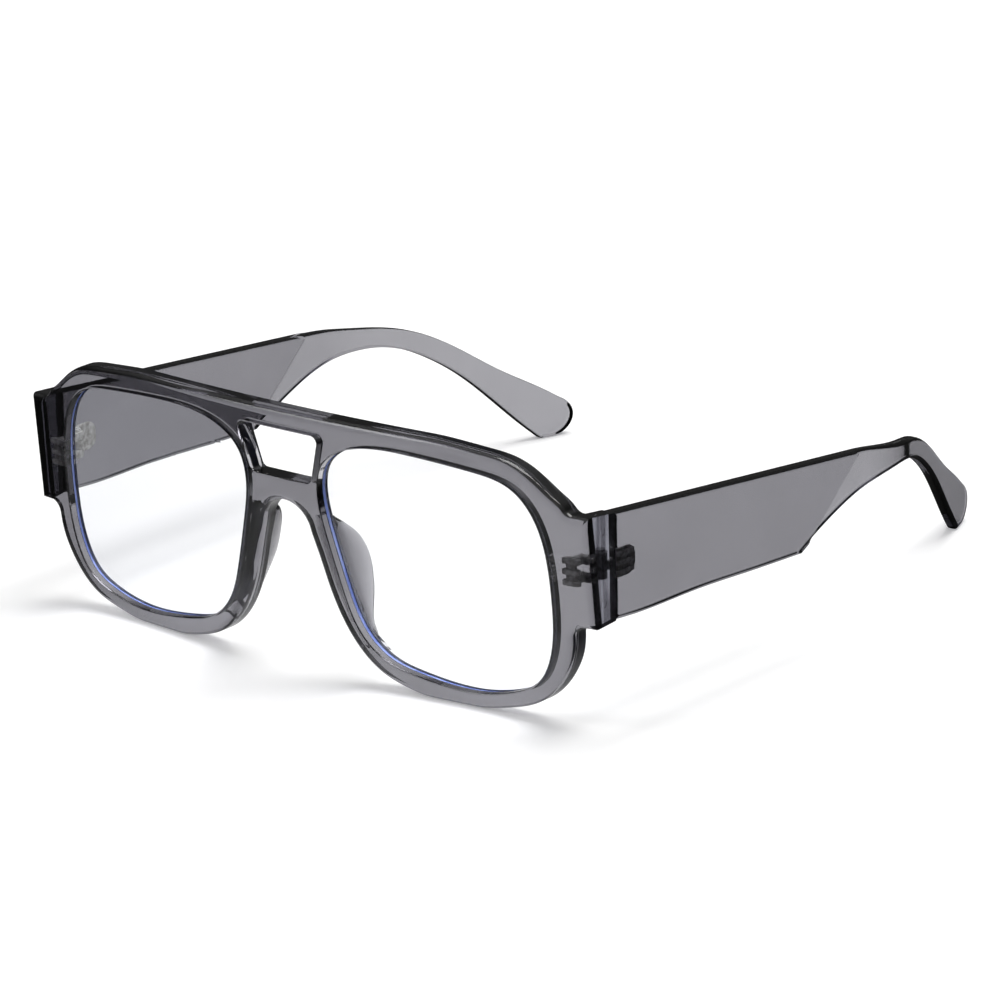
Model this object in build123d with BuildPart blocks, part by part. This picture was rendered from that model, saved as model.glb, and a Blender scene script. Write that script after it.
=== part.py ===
from build123d import *
import os
from math import acos, asin, atan2, cos, degrees, hypot, radians, sin, sqrt, tan

os.makedirs("parts", exist_ok=True)

# Spectacle frame with a double bridge: two bars join the rims, with a gap between them.
# X runs to the wearer's left, Y to the back, Z up. The frame stands open on the flats
# under its rims and on its two ear tips. Sizes are in millimetres, angles in degrees.

# Lens openings and bridge
LENS_WIDTH = 54.3
LENS_HEIGHT = 48.6
BRIDGE = 19.2
RIM = 4.3
RIM_BOTTOM = 3.4
FRONT_THICK = 4.5
WRAP_RADIUS = 445.0
TILT = 5.3

# Gap between the two bridge bars
GAP_TOP_HALF = 10.6
GAP_FOOT_HALF = 7.8
GAP_HEIGHT = 10.4
GAP_CORNER = 1.3
ARCH_DROP = 5.1
ARCH_LEAN = 0.3

# End pieces, which turn back from the rims to the hinges
END_WIDTH = 9.6
END_HEIGHT = 23.7
END_RAISE = 29.7
END_DEPTH = 16.0
END_WALL = 3.4
END_TAPER = 0.9
END_ROOT = 2.0
NOTCH_RADIUS = 1.9
MARK_RADIUS = 0.8
MARK_DEPTH = 0.15
MARK_SETBACK = 1.9
MARK_RISE = 7.4

# Lenses
LENS_SETBACK = 1.8
LENS_THICK = 1.8
LENS_BITE = 0.6
LENS_PLAY = 0.05

# Temples
TEMPLE_REACH = 148.35
TEMPLE_HEIGHT = 22.2
TEMPLE_THICK = 3.4
TEMPLE_GAP = 0.05
TEMPLE_SPLAY = 1.3
BEND_START = 85.0
BEND_RADIUS = 50.0
BEND_ANGLE = 21.3
EAR_STEP = 0.6

# Hinges
HINGE_HEIGHT = 5.6
HINGE_DROP = 0.3
AXIS_INSET = 5.4
AXIS_BACK = 0.2
KNUCKLE_RADIUS = 1.4
KNUCKLE_PLAY = 0.08
ARM_THICK = 1.3
FOOT_WIDTH = 4.0
FOOT_DEPTH = 2.8
FOOT_PROUD = 0.6
FOOT_CORNER = 0.7
NOTCH_SIZE = 0.7
PLATE_LENGTH = 7.2
PLATE_HEIGHT = 6.0
PLATE_THICK = 1.2
PLATE_PROUD = 0.4
PLATE_CORNER = 2.4
PLATE_SETBACK = 0.9
SCREW_RADIUS = 0.6
SCREW_PLAY = 0.03
HEAD_RADIUS = 1.0
HEAD_HEIGHT = 0.5
SLOT_WIDTH = 0.3
SLOT_DEPTH = 0.25

# Nose pads
PAD_TOP = 34.4
PAD_FOOT = 7.4
PAD_REACH = 7.1
PAD_LEAN = 0.3
PAD_EDGE = 1.6
PAD_INSET = 0.15
PAD_ROOT = 0.6

# Rounded edges, and the overrun of every cut
FRONT_EDGE = 0.7
BACK_EDGE = 0.5
TEMPLE_EDGE = 0.8
OVERRUN = 20.0

# Lens opening, as shares of its width outwards and of its height upwards
OPENING_shares = [
    (0.449, 1.000), (0.707, 0.979), (0.866, 0.932), (0.947, 0.827), (0.991, 0.650),
    (1.000, 0.465), (0.978, 0.228), (0.915, 0.099), (0.810, 0.037), (0.628, 0.000),
    (0.385, 0.023), (0.247, 0.066), (0.145, 0.169), (0.079, 0.348), (0.026, 0.568),
    (0.000, 0.770), (0.026, 0.872), (0.085, 0.936), (0.201, 0.986),
]

# Outside of the rim: a place on the opening's box, then shares of the rim's width
OUTER_RIM_shares = [
    (0.486, 1.000, 0.00, 1.00), (0.731, 0.974, 0.00, 1.08), (0.840, 0.945, 0.30, 1.11),
    (0.893, 0.911, 0.56, 1.00), (0.940, 0.842, 1.09, 0.90), (0.957, 0.800, 1.38, 0.96),
    (0.975, 0.740, 1.52, 0.96), (1.000, 0.600, 1.16, 0.33), (0.995, 0.400, 1.06, 0.27),
    (0.980, 0.245, 1.09, 0.00), (0.955, 0.160, 0.91, -0.16), (0.925, 0.110, 0.60, -0.52),
    (0.880, 0.070, 0.14, -0.84), (0.772, 0.025, 0.00, -0.80),
]
INNER_RIM_shares = [
    (0.330, 0.037, 0.00, -0.98), (0.240, 0.070, -0.26, -0.84), (0.165, 0.135, -0.60, -0.48),
    (0.125, 0.215, -0.84, -0.27), (0.079, 0.348, -1.00, 0.00), (0.045, 0.475, -1.00, 0.00),
    (0.026, 0.572, -1.12, 0.00),
]
FOOT_FLAT_shares = (0.633, 0.450)

# Temple outline, as shares of its reach and of the height of its front top corner
CREASE_TOP_shares = (0.5416, 0.824)
CREASE_FOOT_shares = (0.4075, 0.440)
EAR_TOP_shares = [
    (0.639, 0.771), (0.720, 0.716), (0.761, 0.660), (0.801, 0.583), (0.877, 0.410),
]
TIP_TOP_shares = (0.970, 0.218)
TIP_shares = [(0.991, 0.170), (1.000, 0.108), (0.992, 0.040)]
TIP_FLAT_shares = (0.965, 0.945)
EAR_FOOT_shares = [
    (0.917, 0.084), (0.843, 0.327), (0.801, 0.449), (0.761, 0.540), (0.720, 0.610),
    (0.680, 0.646), (0.639, 0.655), (0.552, 0.628), (0.484, 0.556),
]
PANEL_FOOT_shares = [(0.283, 0.460), (0.178, 0.478), (0.044, 0.486)]

# Nose pad: place down the pad, then share of its full reach behind the rim
PAD_shares = [
    (0.00, 0.10), (0.05, 0.34), (0.16, 0.78), (0.27, 0.97), (0.39, 1.00),
    (0.60, 0.80), (0.80, 0.42), (0.93, 0.22), (1.00, 0.08),
]

# Sizes that follow
OPEN_X = BRIDGE / 2
END_X = OPEN_X + LENS_WIDTH + END_WIDTH
END_ROOT_X = OPEN_X + LENS_WIDTH + END_ROOT
FRONT_HEIGHT = RIM_BOTTOM + LENS_HEIGHT + RIM
DEPTH = END_DEPTH + TEMPLE_GAP + TEMPLE_REACH
EDGE_SET = FRONT_EDGE * (tan(radians(TILT)) + 1 / cos(radians(TILT)) - 1)
FRONT_Y = -(DEPTH + EDGE_SET) / 2
END_Y = FRONT_Y + END_DEPTH
TEMPLE_Y = END_Y + TEMPLE_GAP
END_MID = RIM_BOTTOM + END_RAISE
TEMPLE_TOP = END_MID + TEMPLE_HEIGHT / 2
TEMPLE_FOOT = END_MID - TEMPLE_HEIGHT / 2
GAP_TOP = RIM_BOTTOM + LENS_HEIGHT
GAP_FOOT = GAP_TOP - GAP_HEIGHT
ARCH_TOP = GAP_FOOT - ARCH_DROP
AXIS_X = END_X - AXIS_INSET
AXIS_Y = END_Y + AXIS_BACK
HINGE_Z = END_MID - HINGE_DROP
KNUCKLE_HEIGHT = (HINGE_HEIGHT - 2 * KNUCKLE_PLAY) / 3
KNUCKLE_RAISES = [HINGE_Z + k * (KNUCKLE_HEIGHT + KNUCKLE_PLAY) for k in (-1, 0, 1)]
PLATE_X = END_X - TEMPLE_THICK - PLATE_PROUD
SPLAY = (sin(radians(TEMPLE_SPLAY)), cos(radians(TEMPLE_SPLAY)))
TIP_FALL = sqrt(0.5)
UPRIGHT = 0.6
OPENING_STEPS = 36

front_plane = Plane.XZ.offset(OVERRUN - FRONT_Y)
side_plane = Plane.YZ
tilt_plane = Plane(
    origin=(0, FRONT_Y + tan(radians(TILT)) * FRONT_HEIGHT, 0),
    x_dir=(1, 0, 0),
    z_dir=(0, -sin(radians(TILT)), cos(radians(TILT))),
)


def opening_point(u, v):
    return (OPEN_X + u * LENS_WIDTH, RIM_BOTTOM + v * LENS_HEIGHT)


def rim_point(u, v, a, b):
    x, z = opening_point(u, v)
    return (x + a * RIM, z + b * RIM)


def temple_point(u, v):
    return (TEMPLE_Y + u * TEMPLE_REACH, v * TEMPLE_TOP)


def wrap_sag(x, below):
    return WRAP_RADIUS - sqrt((WRAP_RADIUS - below)**2 - x**2)


def front_depth(x, z, below=0):
    """Y of the wrapped front, or of a surface at a depth below it."""
    drop = tan(radians(TILT)) * (FRONT_HEIGHT - z)
    sag = wrap_sag(x, below)
    return FRONT_Y + drop + sag / cos(radians(TILT))


def across(points, z):
    """X of an outline at one height, from its points."""
    rows = sorted(points, key=lambda point: point[1])
    for (x0, z0), (x1, z1) in zip(rows, rows[1:]):
        if z0 <= z <= z1:
            return x0 + (x1 - x0) * (z - z0) / (z1 - z0)
    return rows[0][0] if z < rows[0][1] else rows[-1][0]


def wrapped_slab(depth, thickness):
    """A layer of the wrapped front, from one depth below its surface to another."""
    half = END_X + OVERRUN
    faces = (depth, depth + thickness)
    with BuildPart() as slab:
        with BuildSketch(tilt_plane.offset(-OVERRUN)):
            with BuildLine():
                for below in faces:
                    edge = wrap_sag(half, below)
                    ThreePointArc((-half, edge), (0, below), (half, edge))
                for x in (-half, half):
                    Line((x, wrap_sag(x, faces[0])), (x, wrap_sag(x, faces[1])))
            make_face()
        extrude(amount=FRONT_HEIGHT + 2 * OVERRUN)
    return slab.part


def opening_block(grow):
    """Both lens openings, grown by a width all round, as blocks through the front."""
    with BuildPart() as block:
        with BuildSketch(front_plane):
            with BuildLine():
                mouth = Spline(*[opening_point(u, v) for u, v in OPENING_shares],
                               periodic=True, mode=Mode.PRIVATE)
                grown = []
                for k in range(OPENING_STEPS):
                    t = k / OPENING_STEPS
                    along = mouth % t
                    grown.append(mouth @ t + Vector(-along.Y, along.X) * grow)
                Spline(*grown, periodic=True)
            make_face()
            mirror(about=Plane.YZ)
        extrude(amount=-2 * OVERRUN - END_DEPTH)
    return block.part


def layer_of(block, depth, thickness):
    layer = wrapped_slab(depth, thickness)
    with BuildPart() as cut:
        add(block)
        add(layer, mode=Mode.INTERSECT)
    return cut.part


def rim_prism():
    """Outline of both rims and of the bridge bars, run straight through to the back."""
    flat_out, flat_in = [(OPEN_X + u * LENS_WIDTH, 0) for u in FOOT_FLAT_shares]
    outer = [rim_point(*row) for row in OUTER_RIM_shares]
    inner = [rim_point(*row) for row in INNER_RIM_shares]
    spring_x, spring_z = inner[-1]
    rise = ARCH_TOP - spring_z
    arch_radius = (spring_x**2 + rise**2) / (2 * rise)
    with BuildPart() as body:
        with BuildSketch(front_plane):
            with BuildLine():
                Line((0, FRONT_HEIGHT), outer[0])
                Spline(*outer, flat_out, tangents=[(1, 0), (-1, 0)])
                Line(flat_out, flat_in)
                Spline(flat_in, *inner, tangents=[(-1, 0), (-ARCH_LEAN, 1)])
                CenterArc((0, ARCH_TOP - arch_radius), arch_radius,
                          degrees(asin((spring_z - ARCH_TOP + arch_radius) / arch_radius)),
                          degrees(acos((spring_z - ARCH_TOP + arch_radius) / arch_radius)))
                mirror(about=Plane.YZ)
            make_face()
        extrude(amount=-2 * OVERRUN - END_DEPTH)
    return body.part


def end_prism(inner_x):
    """Both end pieces as wedges from a place behind the rims out to their sides."""
    bend_y = front_depth(END_X, END_MID)
    slope = (END_HEIGHT - TEMPLE_HEIGHT) / 2 / (END_Y - bend_y)
    half_front = END_HEIGHT / 2 + slope * (bend_y - FRONT_Y)
    half_back = TEMPLE_HEIGHT / 2
    with BuildPart() as ends:
        with BuildSketch():
            with BuildLine():
                Polyline((END_X - END_TAPER, FRONT_Y), (END_X, END_Y), (inner_x, END_Y),
                         (inner_x - END_TAPER, FRONT_Y), close=True)
            make_face()
            mirror(about=Plane.YZ)
        extrude(amount=FRONT_HEIGHT)
        with BuildSketch(side_plane.offset(-END_X - OVERRUN)):
            with BuildLine():
                Polyline((FRONT_Y, END_MID + half_front), (END_Y, END_MID + half_back),
                         (END_Y, END_MID - half_back), (FRONT_Y, END_MID - half_front),
                         close=True)
            make_face()
        extrude(amount=2 * (END_X + OVERRUN), mode=Mode.INTERSECT)
    return ends.part


def on_layer(edge, below):
    spots = [edge.position_at(t) for t in (0.1, 0.5, 0.9)]
    return all(abs(front_depth(p.X, p.Z, below) - p.Y) < LENS_PLAY for p in spots)


def temple_band(near, far):
    """Plan of the left temple between two depths below its outer face, run upwards."""
    with BuildPart() as band:
        with BuildSketch():
            with BuildLine():
                ends = []
                for inset in (near, far):
                    x = END_X - inset * SPLAY[1]
                    y = TEMPLE_Y + inset * SPLAY[0]
                    start = (x - OVERRUN * SPLAY[0], y - OVERRUN * SPLAY[1])
                    bend = (x + BEND_START * SPLAY[0], y + BEND_START * SPLAY[1])
                    straight = Line(start, bend)
                    turn = JernArc(bend, SPLAY, BEND_RADIUS - inset, BEND_ANGLE)
                    tail = Line(turn @ 1, turn @ 1 + (turn % 1) * TEMPLE_REACH)
                    ends.append((straight @ 0, tail @ 1))
                Line(ends[0][0], ends[1][0])
                Line(ends[0][1], ends[1][1])
            make_face()
        extrude(amount=FRONT_HEIGHT)
    return band.part


def temple_profile():
    """Side view of a temple, run across to both sides."""
    crease_top = temple_point(*CREASE_TOP_shares)
    crease_foot = temple_point(*CREASE_FOOT_shares)
    ear_top = [temple_point(*row) for row in EAR_TOP_shares]
    tip_top = temple_point(*TIP_TOP_shares)
    tip = [temple_point(*row) for row in TIP_shares]
    heel, toe = [temple_point(u, 0) for u in TIP_FLAT_shares]
    ear_foot = [temple_point(*row) for row in EAR_FOOT_shares]
    panel_foot = [temple_point(*row) for row in PANEL_FOOT_shares]
    slope = (CREASE_TOP_shares[0] * TEMPLE_REACH, (CREASE_TOP_shares[1] - 1) * TEMPLE_TOP)
    with BuildPart() as profile:
        with BuildSketch(side_plane):
            with BuildLine():
                Line((TEMPLE_Y, TEMPLE_FOOT), (TEMPLE_Y, TEMPLE_TOP))
                Line((TEMPLE_Y, TEMPLE_TOP), crease_top)
                top = Spline(crease_top, *ear_top, tip_top, tangents=[slope, (1, -TIP_FALL)])
                Spline(tip_top, *tip, heel, tangents=[top % 1, (-1, 0)])
                Line(heel, toe)
                Spline(toe, *ear_foot, crease_foot)
                Spline(crease_foot, *panel_foot, (TEMPLE_Y, TEMPLE_FOOT))
            make_face()
        extrude(amount=END_X + OVERRUN, both=True)
    return profile.part


rims = rim_prism()
bands = end_prism(END_ROOT_X)
walls = layer_of(end_prism(END_X - END_WALL), FRONT_THICK / 2, END_DEPTH)
face_layer = wrapped_slab(0, FRONT_THICK)
openings = opening_block(0)
groove = layer_of(opening_block(LENS_BITE + LENS_PLAY), LENS_SETBACK - LENS_PLAY,
                  LENS_THICK + 2 * LENS_PLAY)
with BuildPart() as front_blank:
    add(rims)
    add(bands)
    add(face_layer, mode=Mode.INTERSECT)
    add(walls)
    notches = [
        e for e in front_blank.edges()
        if OPEN_X + LENS_WIDTH < abs(e.center().X) < END_X - END_WALL - END_TAPER
        and abs((e @ 1 - e @ 0).normalized().Y) > cos(radians(2 * TILT))
    ]
    fillet(notches, radius=NOTCH_RADIUS)
    with BuildSketch(front_plane):
        with BuildLine():
            FilletPolyline(
                (-GAP_TOP_HALF, GAP_TOP), (GAP_TOP_HALF, GAP_TOP),
                (GAP_FOOT_HALF, GAP_FOOT), (-GAP_FOOT_HALF, GAP_FOOT),
                radius=GAP_CORNER, close=True,
            )
        make_face()
    extrude(amount=-2 * OVERRUN - END_DEPTH, mode=Mode.SUBTRACT)
    add(openings, mode=Mode.SUBTRACT)
    rim_edges = [e for e in front_blank.edges() if on_layer(e, 0)]
    fillet(rim_edges, radius=FRONT_EDGE)
    back_edges = [e for e in front_blank.edges() if on_layer(e, FRONT_THICK)]
    rings = [
        e for e in back_edges
        if e.is_closed or (abs(e.center().X) < GAP_TOP_HALF and e.center().Z > GAP_FOOT - BACK_EDGE)
    ]
    fillet(rings, radius=BACK_EDGE)


def temple_inset(spot):
    """Depth of a point below the outer face of the left temple."""
    run = (spot.X - END_X) * SPLAY[0] + (spot.Y - TEMPLE_Y) * SPLAY[1]
    out = (spot.X - END_X) * SPLAY[1] - (spot.Y - TEMPLE_Y) * SPLAY[0]
    if run < BEND_START:
        return -out
    turn = atan2(run - BEND_START, BEND_RADIUS + out)
    if turn < radians(BEND_ANGLE):
        return BEND_RADIUS - hypot(run - BEND_START, BEND_RADIUS + out)
    return (BEND_RADIUS - (run - BEND_START) * sin(radians(BEND_ANGLE))
            - (BEND_RADIUS + out) * cos(radians(BEND_ANGLE)))


def face_edges(builder, inset):
    """Outline edges of the temple face at a depth, without its seams and its crease."""
    found = []
    for e in builder.edges():
        spots = [e.position_at(t) for t in (0.1, 0.5, 0.9)]
        upright = e.geom_type == GeomType.LINE and abs((e % 0.5).Z) > UPRIGHT
        inside = e.center().Y > TEMPLE_Y + TEMPLE_THICK
        on_face = all(abs(temple_inset(p) - inset) < LENS_PLAY for p in spots)
        if on_face and not (upright and inside):
            found.append(e)
    return found


profile = temple_profile()


def temple_stock(outer):
    """The left temple's whole length with rounded edges, from a depth of its outer face."""
    band = temple_band(outer, TEMPLE_THICK)
    with BuildPart() as stock:
        add(profile)
        add(band, mode=Mode.INTERSECT)
        fillet(face_edges(stock, outer) + face_edges(stock, TEMPLE_THICK), TEMPLE_EDGE)
    return stock.part


panel_stock = temple_stock(0)
stem_stock = temple_stock(EAR_STEP)
crease_top = temple_point(*CREASE_TOP_shares)
crease_foot = temple_point(*CREASE_FOOT_shares)
crease_lean = (crease_top[0] - crease_foot[0]) / (crease_top[1] - crease_foot[1])
with BuildPart() as behind_crease:
    with BuildSketch(side_plane):
        with BuildLine():
            Polyline(
                (crease_foot[0] - crease_foot[1] * crease_lean, 0),
                (crease_top[0] + (FRONT_HEIGHT - crease_top[1]) * crease_lean, FRONT_HEIGHT),
                (TEMPLE_Y + TEMPLE_REACH + OVERRUN, FRONT_HEIGHT),
                (TEMPLE_Y + TEMPLE_REACH + OVERRUN, 0), close=True,
            )
        make_face()
    extrude(amount=END_X + OVERRUN)
with BuildPart() as stem:
    add(stem_stock)
    add(behind_crease.part, mode=Mode.INTERSECT)
with BuildPart() as temple_blank:
    add(panel_stock)
    add(behind_crease.part, mode=Mode.SUBTRACT)
    add(stem.part)


def anchor(plane, width, height, corner, thick):
    """A hinge's anchor plate, run along a plane's normal, with a V notch in each side."""
    with BuildPart() as body:
        with BuildSketch(plane):
            RectangleRounded(width, height, corner)
            with Locations((-width / 2, 0), (width / 2, 0), (0, -height / 2), (0, height / 2)):
                Rectangle(NOTCH_SIZE, NOTCH_SIZE, rotation=45, mode=Mode.SUBTRACT)
        extrude(amount=thick)
    return body.part


def at_axis(raise_z):
    """Plan plane at a height, centred on the left hinge's axis."""
    return Plane.XY.offset(raise_z).move(Location((AXIS_X, AXIS_Y, 0)))


foot_x = AXIS_X - KNUCKLE_RADIUS + ARM_THICK / 2
foot_y = front_depth(foot_x, HINGE_Z, FRONT_THICK) + FOOT_PROUD
foot_plane = Plane(origin=(foot_x, foot_y, HINGE_Z), x_dir=(1, 0, 0), z_dir=(0, -1, 0))
foot = anchor(foot_plane, FOOT_WIDTH, HINGE_HEIGHT, FOOT_CORNER, FOOT_DEPTH)
with BuildPart() as hinge_front:
    add(foot)
    for raise_z in KNUCKLE_RAISES[::2]:
        with BuildSketch(at_axis(raise_z - KNUCKLE_HEIGHT / 2)):
            Circle(KNUCKLE_RADIUS)
            with Locations((foot_x - AXIS_X, (foot_y - AXIS_Y) / 2)):
                Rectangle(ARM_THICK, AXIS_Y - foot_y)
        extrude(amount=KNUCKLE_HEIGHT)
    with BuildSketch(at_axis(HINGE_Z - HINGE_HEIGHT)):
        Circle(SCREW_RADIUS + SCREW_PLAY)
    extrude(amount=2 * HINGE_HEIGHT, mode=Mode.SUBTRACT)

plate_run = PLATE_SETBACK + PLATE_LENGTH / 2
plate_plane = Plane(
    origin=(PLATE_X + plate_run * tan(radians(TEMPLE_SPLAY)), TEMPLE_Y + plate_run, HINGE_Z),
    x_dir=(SPLAY[0], SPLAY[1], 0),
    z_dir=(SPLAY[1], -SPLAY[0], 0),
)
plate = anchor(plate_plane, PLATE_LENGTH, PLATE_HEIGHT, PLATE_CORNER, PLATE_THICK)
arm_reach = PLATE_X + PLATE_PROUD / 2 - AXIS_X
with BuildPart() as hinge_temple:
    add(plate)
    with BuildSketch(at_axis(HINGE_Z - KNUCKLE_HEIGHT / 2)):
        Circle(KNUCKLE_RADIUS)
        with Locations((arm_reach / 2, KNUCKLE_RADIUS - ARM_THICK / 4)):
            Rectangle(arm_reach, ARM_THICK)
    extrude(amount=KNUCKLE_HEIGHT)
    with BuildSketch(at_axis(HINGE_Z - HINGE_HEIGHT)):
        Circle(SCREW_RADIUS + SCREW_PLAY)
    extrude(amount=2 * HINGE_HEIGHT, mode=Mode.SUBTRACT)

with BuildPart() as hinge_screw:
    with BuildSketch(at_axis(HINGE_Z - HINGE_HEIGHT / 2)):
        Circle(SCREW_RADIUS)
    extrude(amount=HINGE_HEIGHT)
    with BuildSketch(at_axis(HINGE_Z + HINGE_HEIGHT / 2)):
        Circle(HEAD_RADIUS)
    extrude(amount=HEAD_HEIGHT)
    with BuildSketch(at_axis(HINGE_Z + HINGE_HEIGHT / 2 + HEAD_HEIGHT)):
        Rectangle(2 * HEAD_RADIUS + SLOT_WIDTH, SLOT_WIDTH)
    extrude(amount=-SLOT_DEPTH, mode=Mode.SUBTRACT)

with BuildPart() as front:
    add(front_blank.part)
    add(groove, mode=Mode.SUBTRACT)
    add(foot, mode=Mode.SUBTRACT)
    add(foot.mirror(Plane.YZ), mode=Mode.SUBTRACT)
    for side in (-1, 1):
        with BuildSketch(side_plane.offset(side * (END_X - END_WALL))):
            with Locations((END_Y - MARK_SETBACK, END_MID - MARK_RISE),
                           (END_Y - MARK_SETBACK, END_MID + MARK_RISE)):
                Circle(MARK_RADIUS)
        extrude(amount=MARK_DEPTH, both=True, mode=Mode.SUBTRACT)

lens_stock = layer_of(opening_block(LENS_BITE), LENS_SETBACK, LENS_THICK)
with BuildPart() as lens:
    add(lens_stock.solids().sort_by(Axis.X)[-1])

with BuildPart() as temple:
    add(temple_blank.part)
    add(plate, mode=Mode.SUBTRACT)

nose_line = [rim_point(*row) for row in INNER_RIM_shares]
mouth_line = [
    opening_point(u, v) for u, v in OPENING_shares
    if u < FOOT_FLAT_shares[1] and opening_point(u, v)[1] < GAP_FOOT
]
back_layer = wrapped_slab(-PAD_REACH, FRONT_THICK + PAD_REACH)
with BuildPart() as nose_pad:
    for down, reach in PAD_shares:
        z = PAD_TOP - down * (PAD_TOP - PAD_FOOT)
        near = across(nose_line, z) + PAD_INSET
        far = across(mouth_line, z) - PAD_INSET
        root_y = front_depth(near, z, FRONT_THICK) - PAD_ROOT
        back_y = root_y + PAD_ROOT + reach * PAD_REACH
        edge = PAD_EDGE / 2
        tip_x = near + edge + (far - near - 2 * edge + reach * PAD_REACH) * PAD_LEAN
        start, finish = (tip_x - edge, back_y - edge), (tip_x + edge, back_y - edge)
        with BuildSketch(Plane.XY.offset(z)):
            with BuildLine():
                Polyline(finish, (far, root_y), (near, root_y), start)
                ThreePointArc(start, (tip_x, back_y), finish)
            make_face()
    loft()
    add(back_layer, mode=Mode.SUBTRACT)

front.part.label = "front"
export_step(front.part, "parts/front.step")
pairs = {
    "lens": lens, "nose_pad": nose_pad, "temple": temple, "hinge_front": hinge_front,
    "hinge_temple": hinge_temple, "hinge_screw": hinge_screw,
}
for name, piece in pairs.items():
    with BuildPart() as twin:
        mirror(piece.part, about=Plane.YZ)
    for side, solid in (("left", piece.part), ("right", twin.part)):
        solid.label = f"{name}_{side}"
        export_step(solid, f"parts/{name}_{side}.step")
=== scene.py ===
from math import atan2, ceil, cos, pi, radians, sin, sqrt, tan

import bpy
import numpy as np
from mathutils import Matrix, Vector
from mathutils.geometry import delaunay_2d_cdt


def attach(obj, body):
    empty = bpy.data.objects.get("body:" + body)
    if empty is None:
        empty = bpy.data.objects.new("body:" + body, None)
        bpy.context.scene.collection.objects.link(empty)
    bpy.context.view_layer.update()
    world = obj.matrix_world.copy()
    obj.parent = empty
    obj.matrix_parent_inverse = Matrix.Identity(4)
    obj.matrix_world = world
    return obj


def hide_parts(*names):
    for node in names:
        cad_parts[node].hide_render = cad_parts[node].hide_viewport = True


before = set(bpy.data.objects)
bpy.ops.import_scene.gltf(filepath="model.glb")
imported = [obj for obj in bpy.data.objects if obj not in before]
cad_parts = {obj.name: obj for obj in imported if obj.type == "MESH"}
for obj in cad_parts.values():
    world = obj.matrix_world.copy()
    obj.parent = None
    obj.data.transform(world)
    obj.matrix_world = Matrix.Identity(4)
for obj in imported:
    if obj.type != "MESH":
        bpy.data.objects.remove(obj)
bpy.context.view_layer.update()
SIDES = {"left": 1, "right": -1}

# Camera: a long lens in front, above and to the wearer's left, in metres and degrees
VIEW_AZIMUTH = 38.94
VIEW_ELEVATION = 18.005
VIEW_ROLL = -1.08
VIEW_DISTANCE = 1.1604
VIEW_TARGET = (0.055384, -0.079334, 0.046893)
LENS_MM = 214.6
SENSOR_MM = 36.0
CLIP_START, CLIP_END = 0.05, 20.0

# Light: the white room's level on matt surfaces, and what the plastic mirrors of it. The mirrored
# ceiling rises over a span of heights, and the mirrored floor fades over a span of metres.
ROOM_LEVEL = 0.36
MIRRORED_WALLS = 0.07
MIRRORED_CEILING = 0.8
CEILING_SPAN = (0.4, 0.95)
MIRRORED_FLOOR, MIRRORED_SPAN = (0.65, 0.03), (0.04, 0.1)
FLOOR_COLOUR = 0.92
FLOOR_GLOW = 0.16
KEY_SPOT, KEY_SIZE, KEY_WATTS = (0.1, 0.55, 1.7), (1.2, 1.2), 26.0
FILL_SPOT, FILL_SIZE, FILL_WATTS = (-0.9, -0.9, 1.2), (0.6, 0.6), 4.0
FLOOR_SIZE = 6.0

# Clear plastics: refraction, tint, how much light each metre takes, and the shade they cast.
# Then the frosted rim of a lens, whose blue is painted reflection of the lens coating, the lens
# groove's near-black painted shade, the rougher insides of the end pieces with their darker
# painted shade, and the lens coating's blue reflection painted into the lens colour at grazing
# angles.
FRAME_IOR = 1.49
FRAME_TINT = (0.46, 0.455, 0.488)
FRONT_DENSITY, TEMPLE_DENSITY, PAD_DENSITY = 550.0, 650.0, 1000.0
FRAME_SHADE = (0.62, 0.62, 0.64)
LENS_IOR = 1.55
LENS_TINT = (0.90, 0.93, 0.99)
LENS_DENSITY = 10.0
LENS_SHADE = (0.97, 0.97, 0.98)
GROUND_PAINTED_REFLECTION_BLUES, GROUND_ROUGHNESS = ((0.25, 0.34, 0.80), (0.42, 0.52, 0.95)), (0.3, 0.6)
GROOVE_PAINTED_SHADE = (0.01, 0.01, 0.012)
INNER_PAINTED_SHADES, INNER_ROUGHNESS = ((0.08, 0.08, 0.10), (0.50, 0.52, 0.62)), (0.2, 0.07)
COAT_REFLECTION_BLEND, COAT_REFLECTION_BLUE = 0.25, (0.80, 0.86, 1.0)

# Surface detail: what each finish gives its surface group, with depths in metres. Then each
# noise's scale per metre, fineness and stretch, and the span of it that shows.
POLISH = {"Cloud level": 0.93, "Smudge roughness": 0.05, "Scratch depth": 0.0000004,
          "Wave depth": 0.00006}
STREAKS = {"Streaks per metre": 420.0}
PLATING = {"Least roughness": 0.22, "Most roughness": 0.5, "Pit depth": 0.00003}
CLOUD_NOISE, CLOUD_SPAN = (55.0, 3.0), (0.3, 0.7)
SMUDGE_NOISE, SMUDGE_SPAN = (90.0, 4.0), (0.52, 0.72)
SCRATCH_NOISE, SCRATCH_SPAN = (260.0, 1.0, (0.12, 0.12, 3.0)), (0.68, 0.74)
WAVE_NOISE = (60.0, 1.0)
STREAK_GRAIN, STREAK_SPAN = (2.0, (1.0, 1.0, 0.06)), (0.46, 0.64)
RUB_NOISE, RUB_SPAN = (900.0, 4.0), (0.35, 0.65)
BRUSH_NOISE, PIT_NOISE = (3000.0, 2.0, (1.0, 1.0, 0.2)), (3000.0, 3.0)

# Metal: how much of it is bare, and its colours
METAL_SHARE = 0.2
NICKEL, NICKEL_WORN, STEEL = (0.74, 0.74, 0.73), (0.40, 0.39, 0.37), (0.80, 0.80, 0.80)

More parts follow.
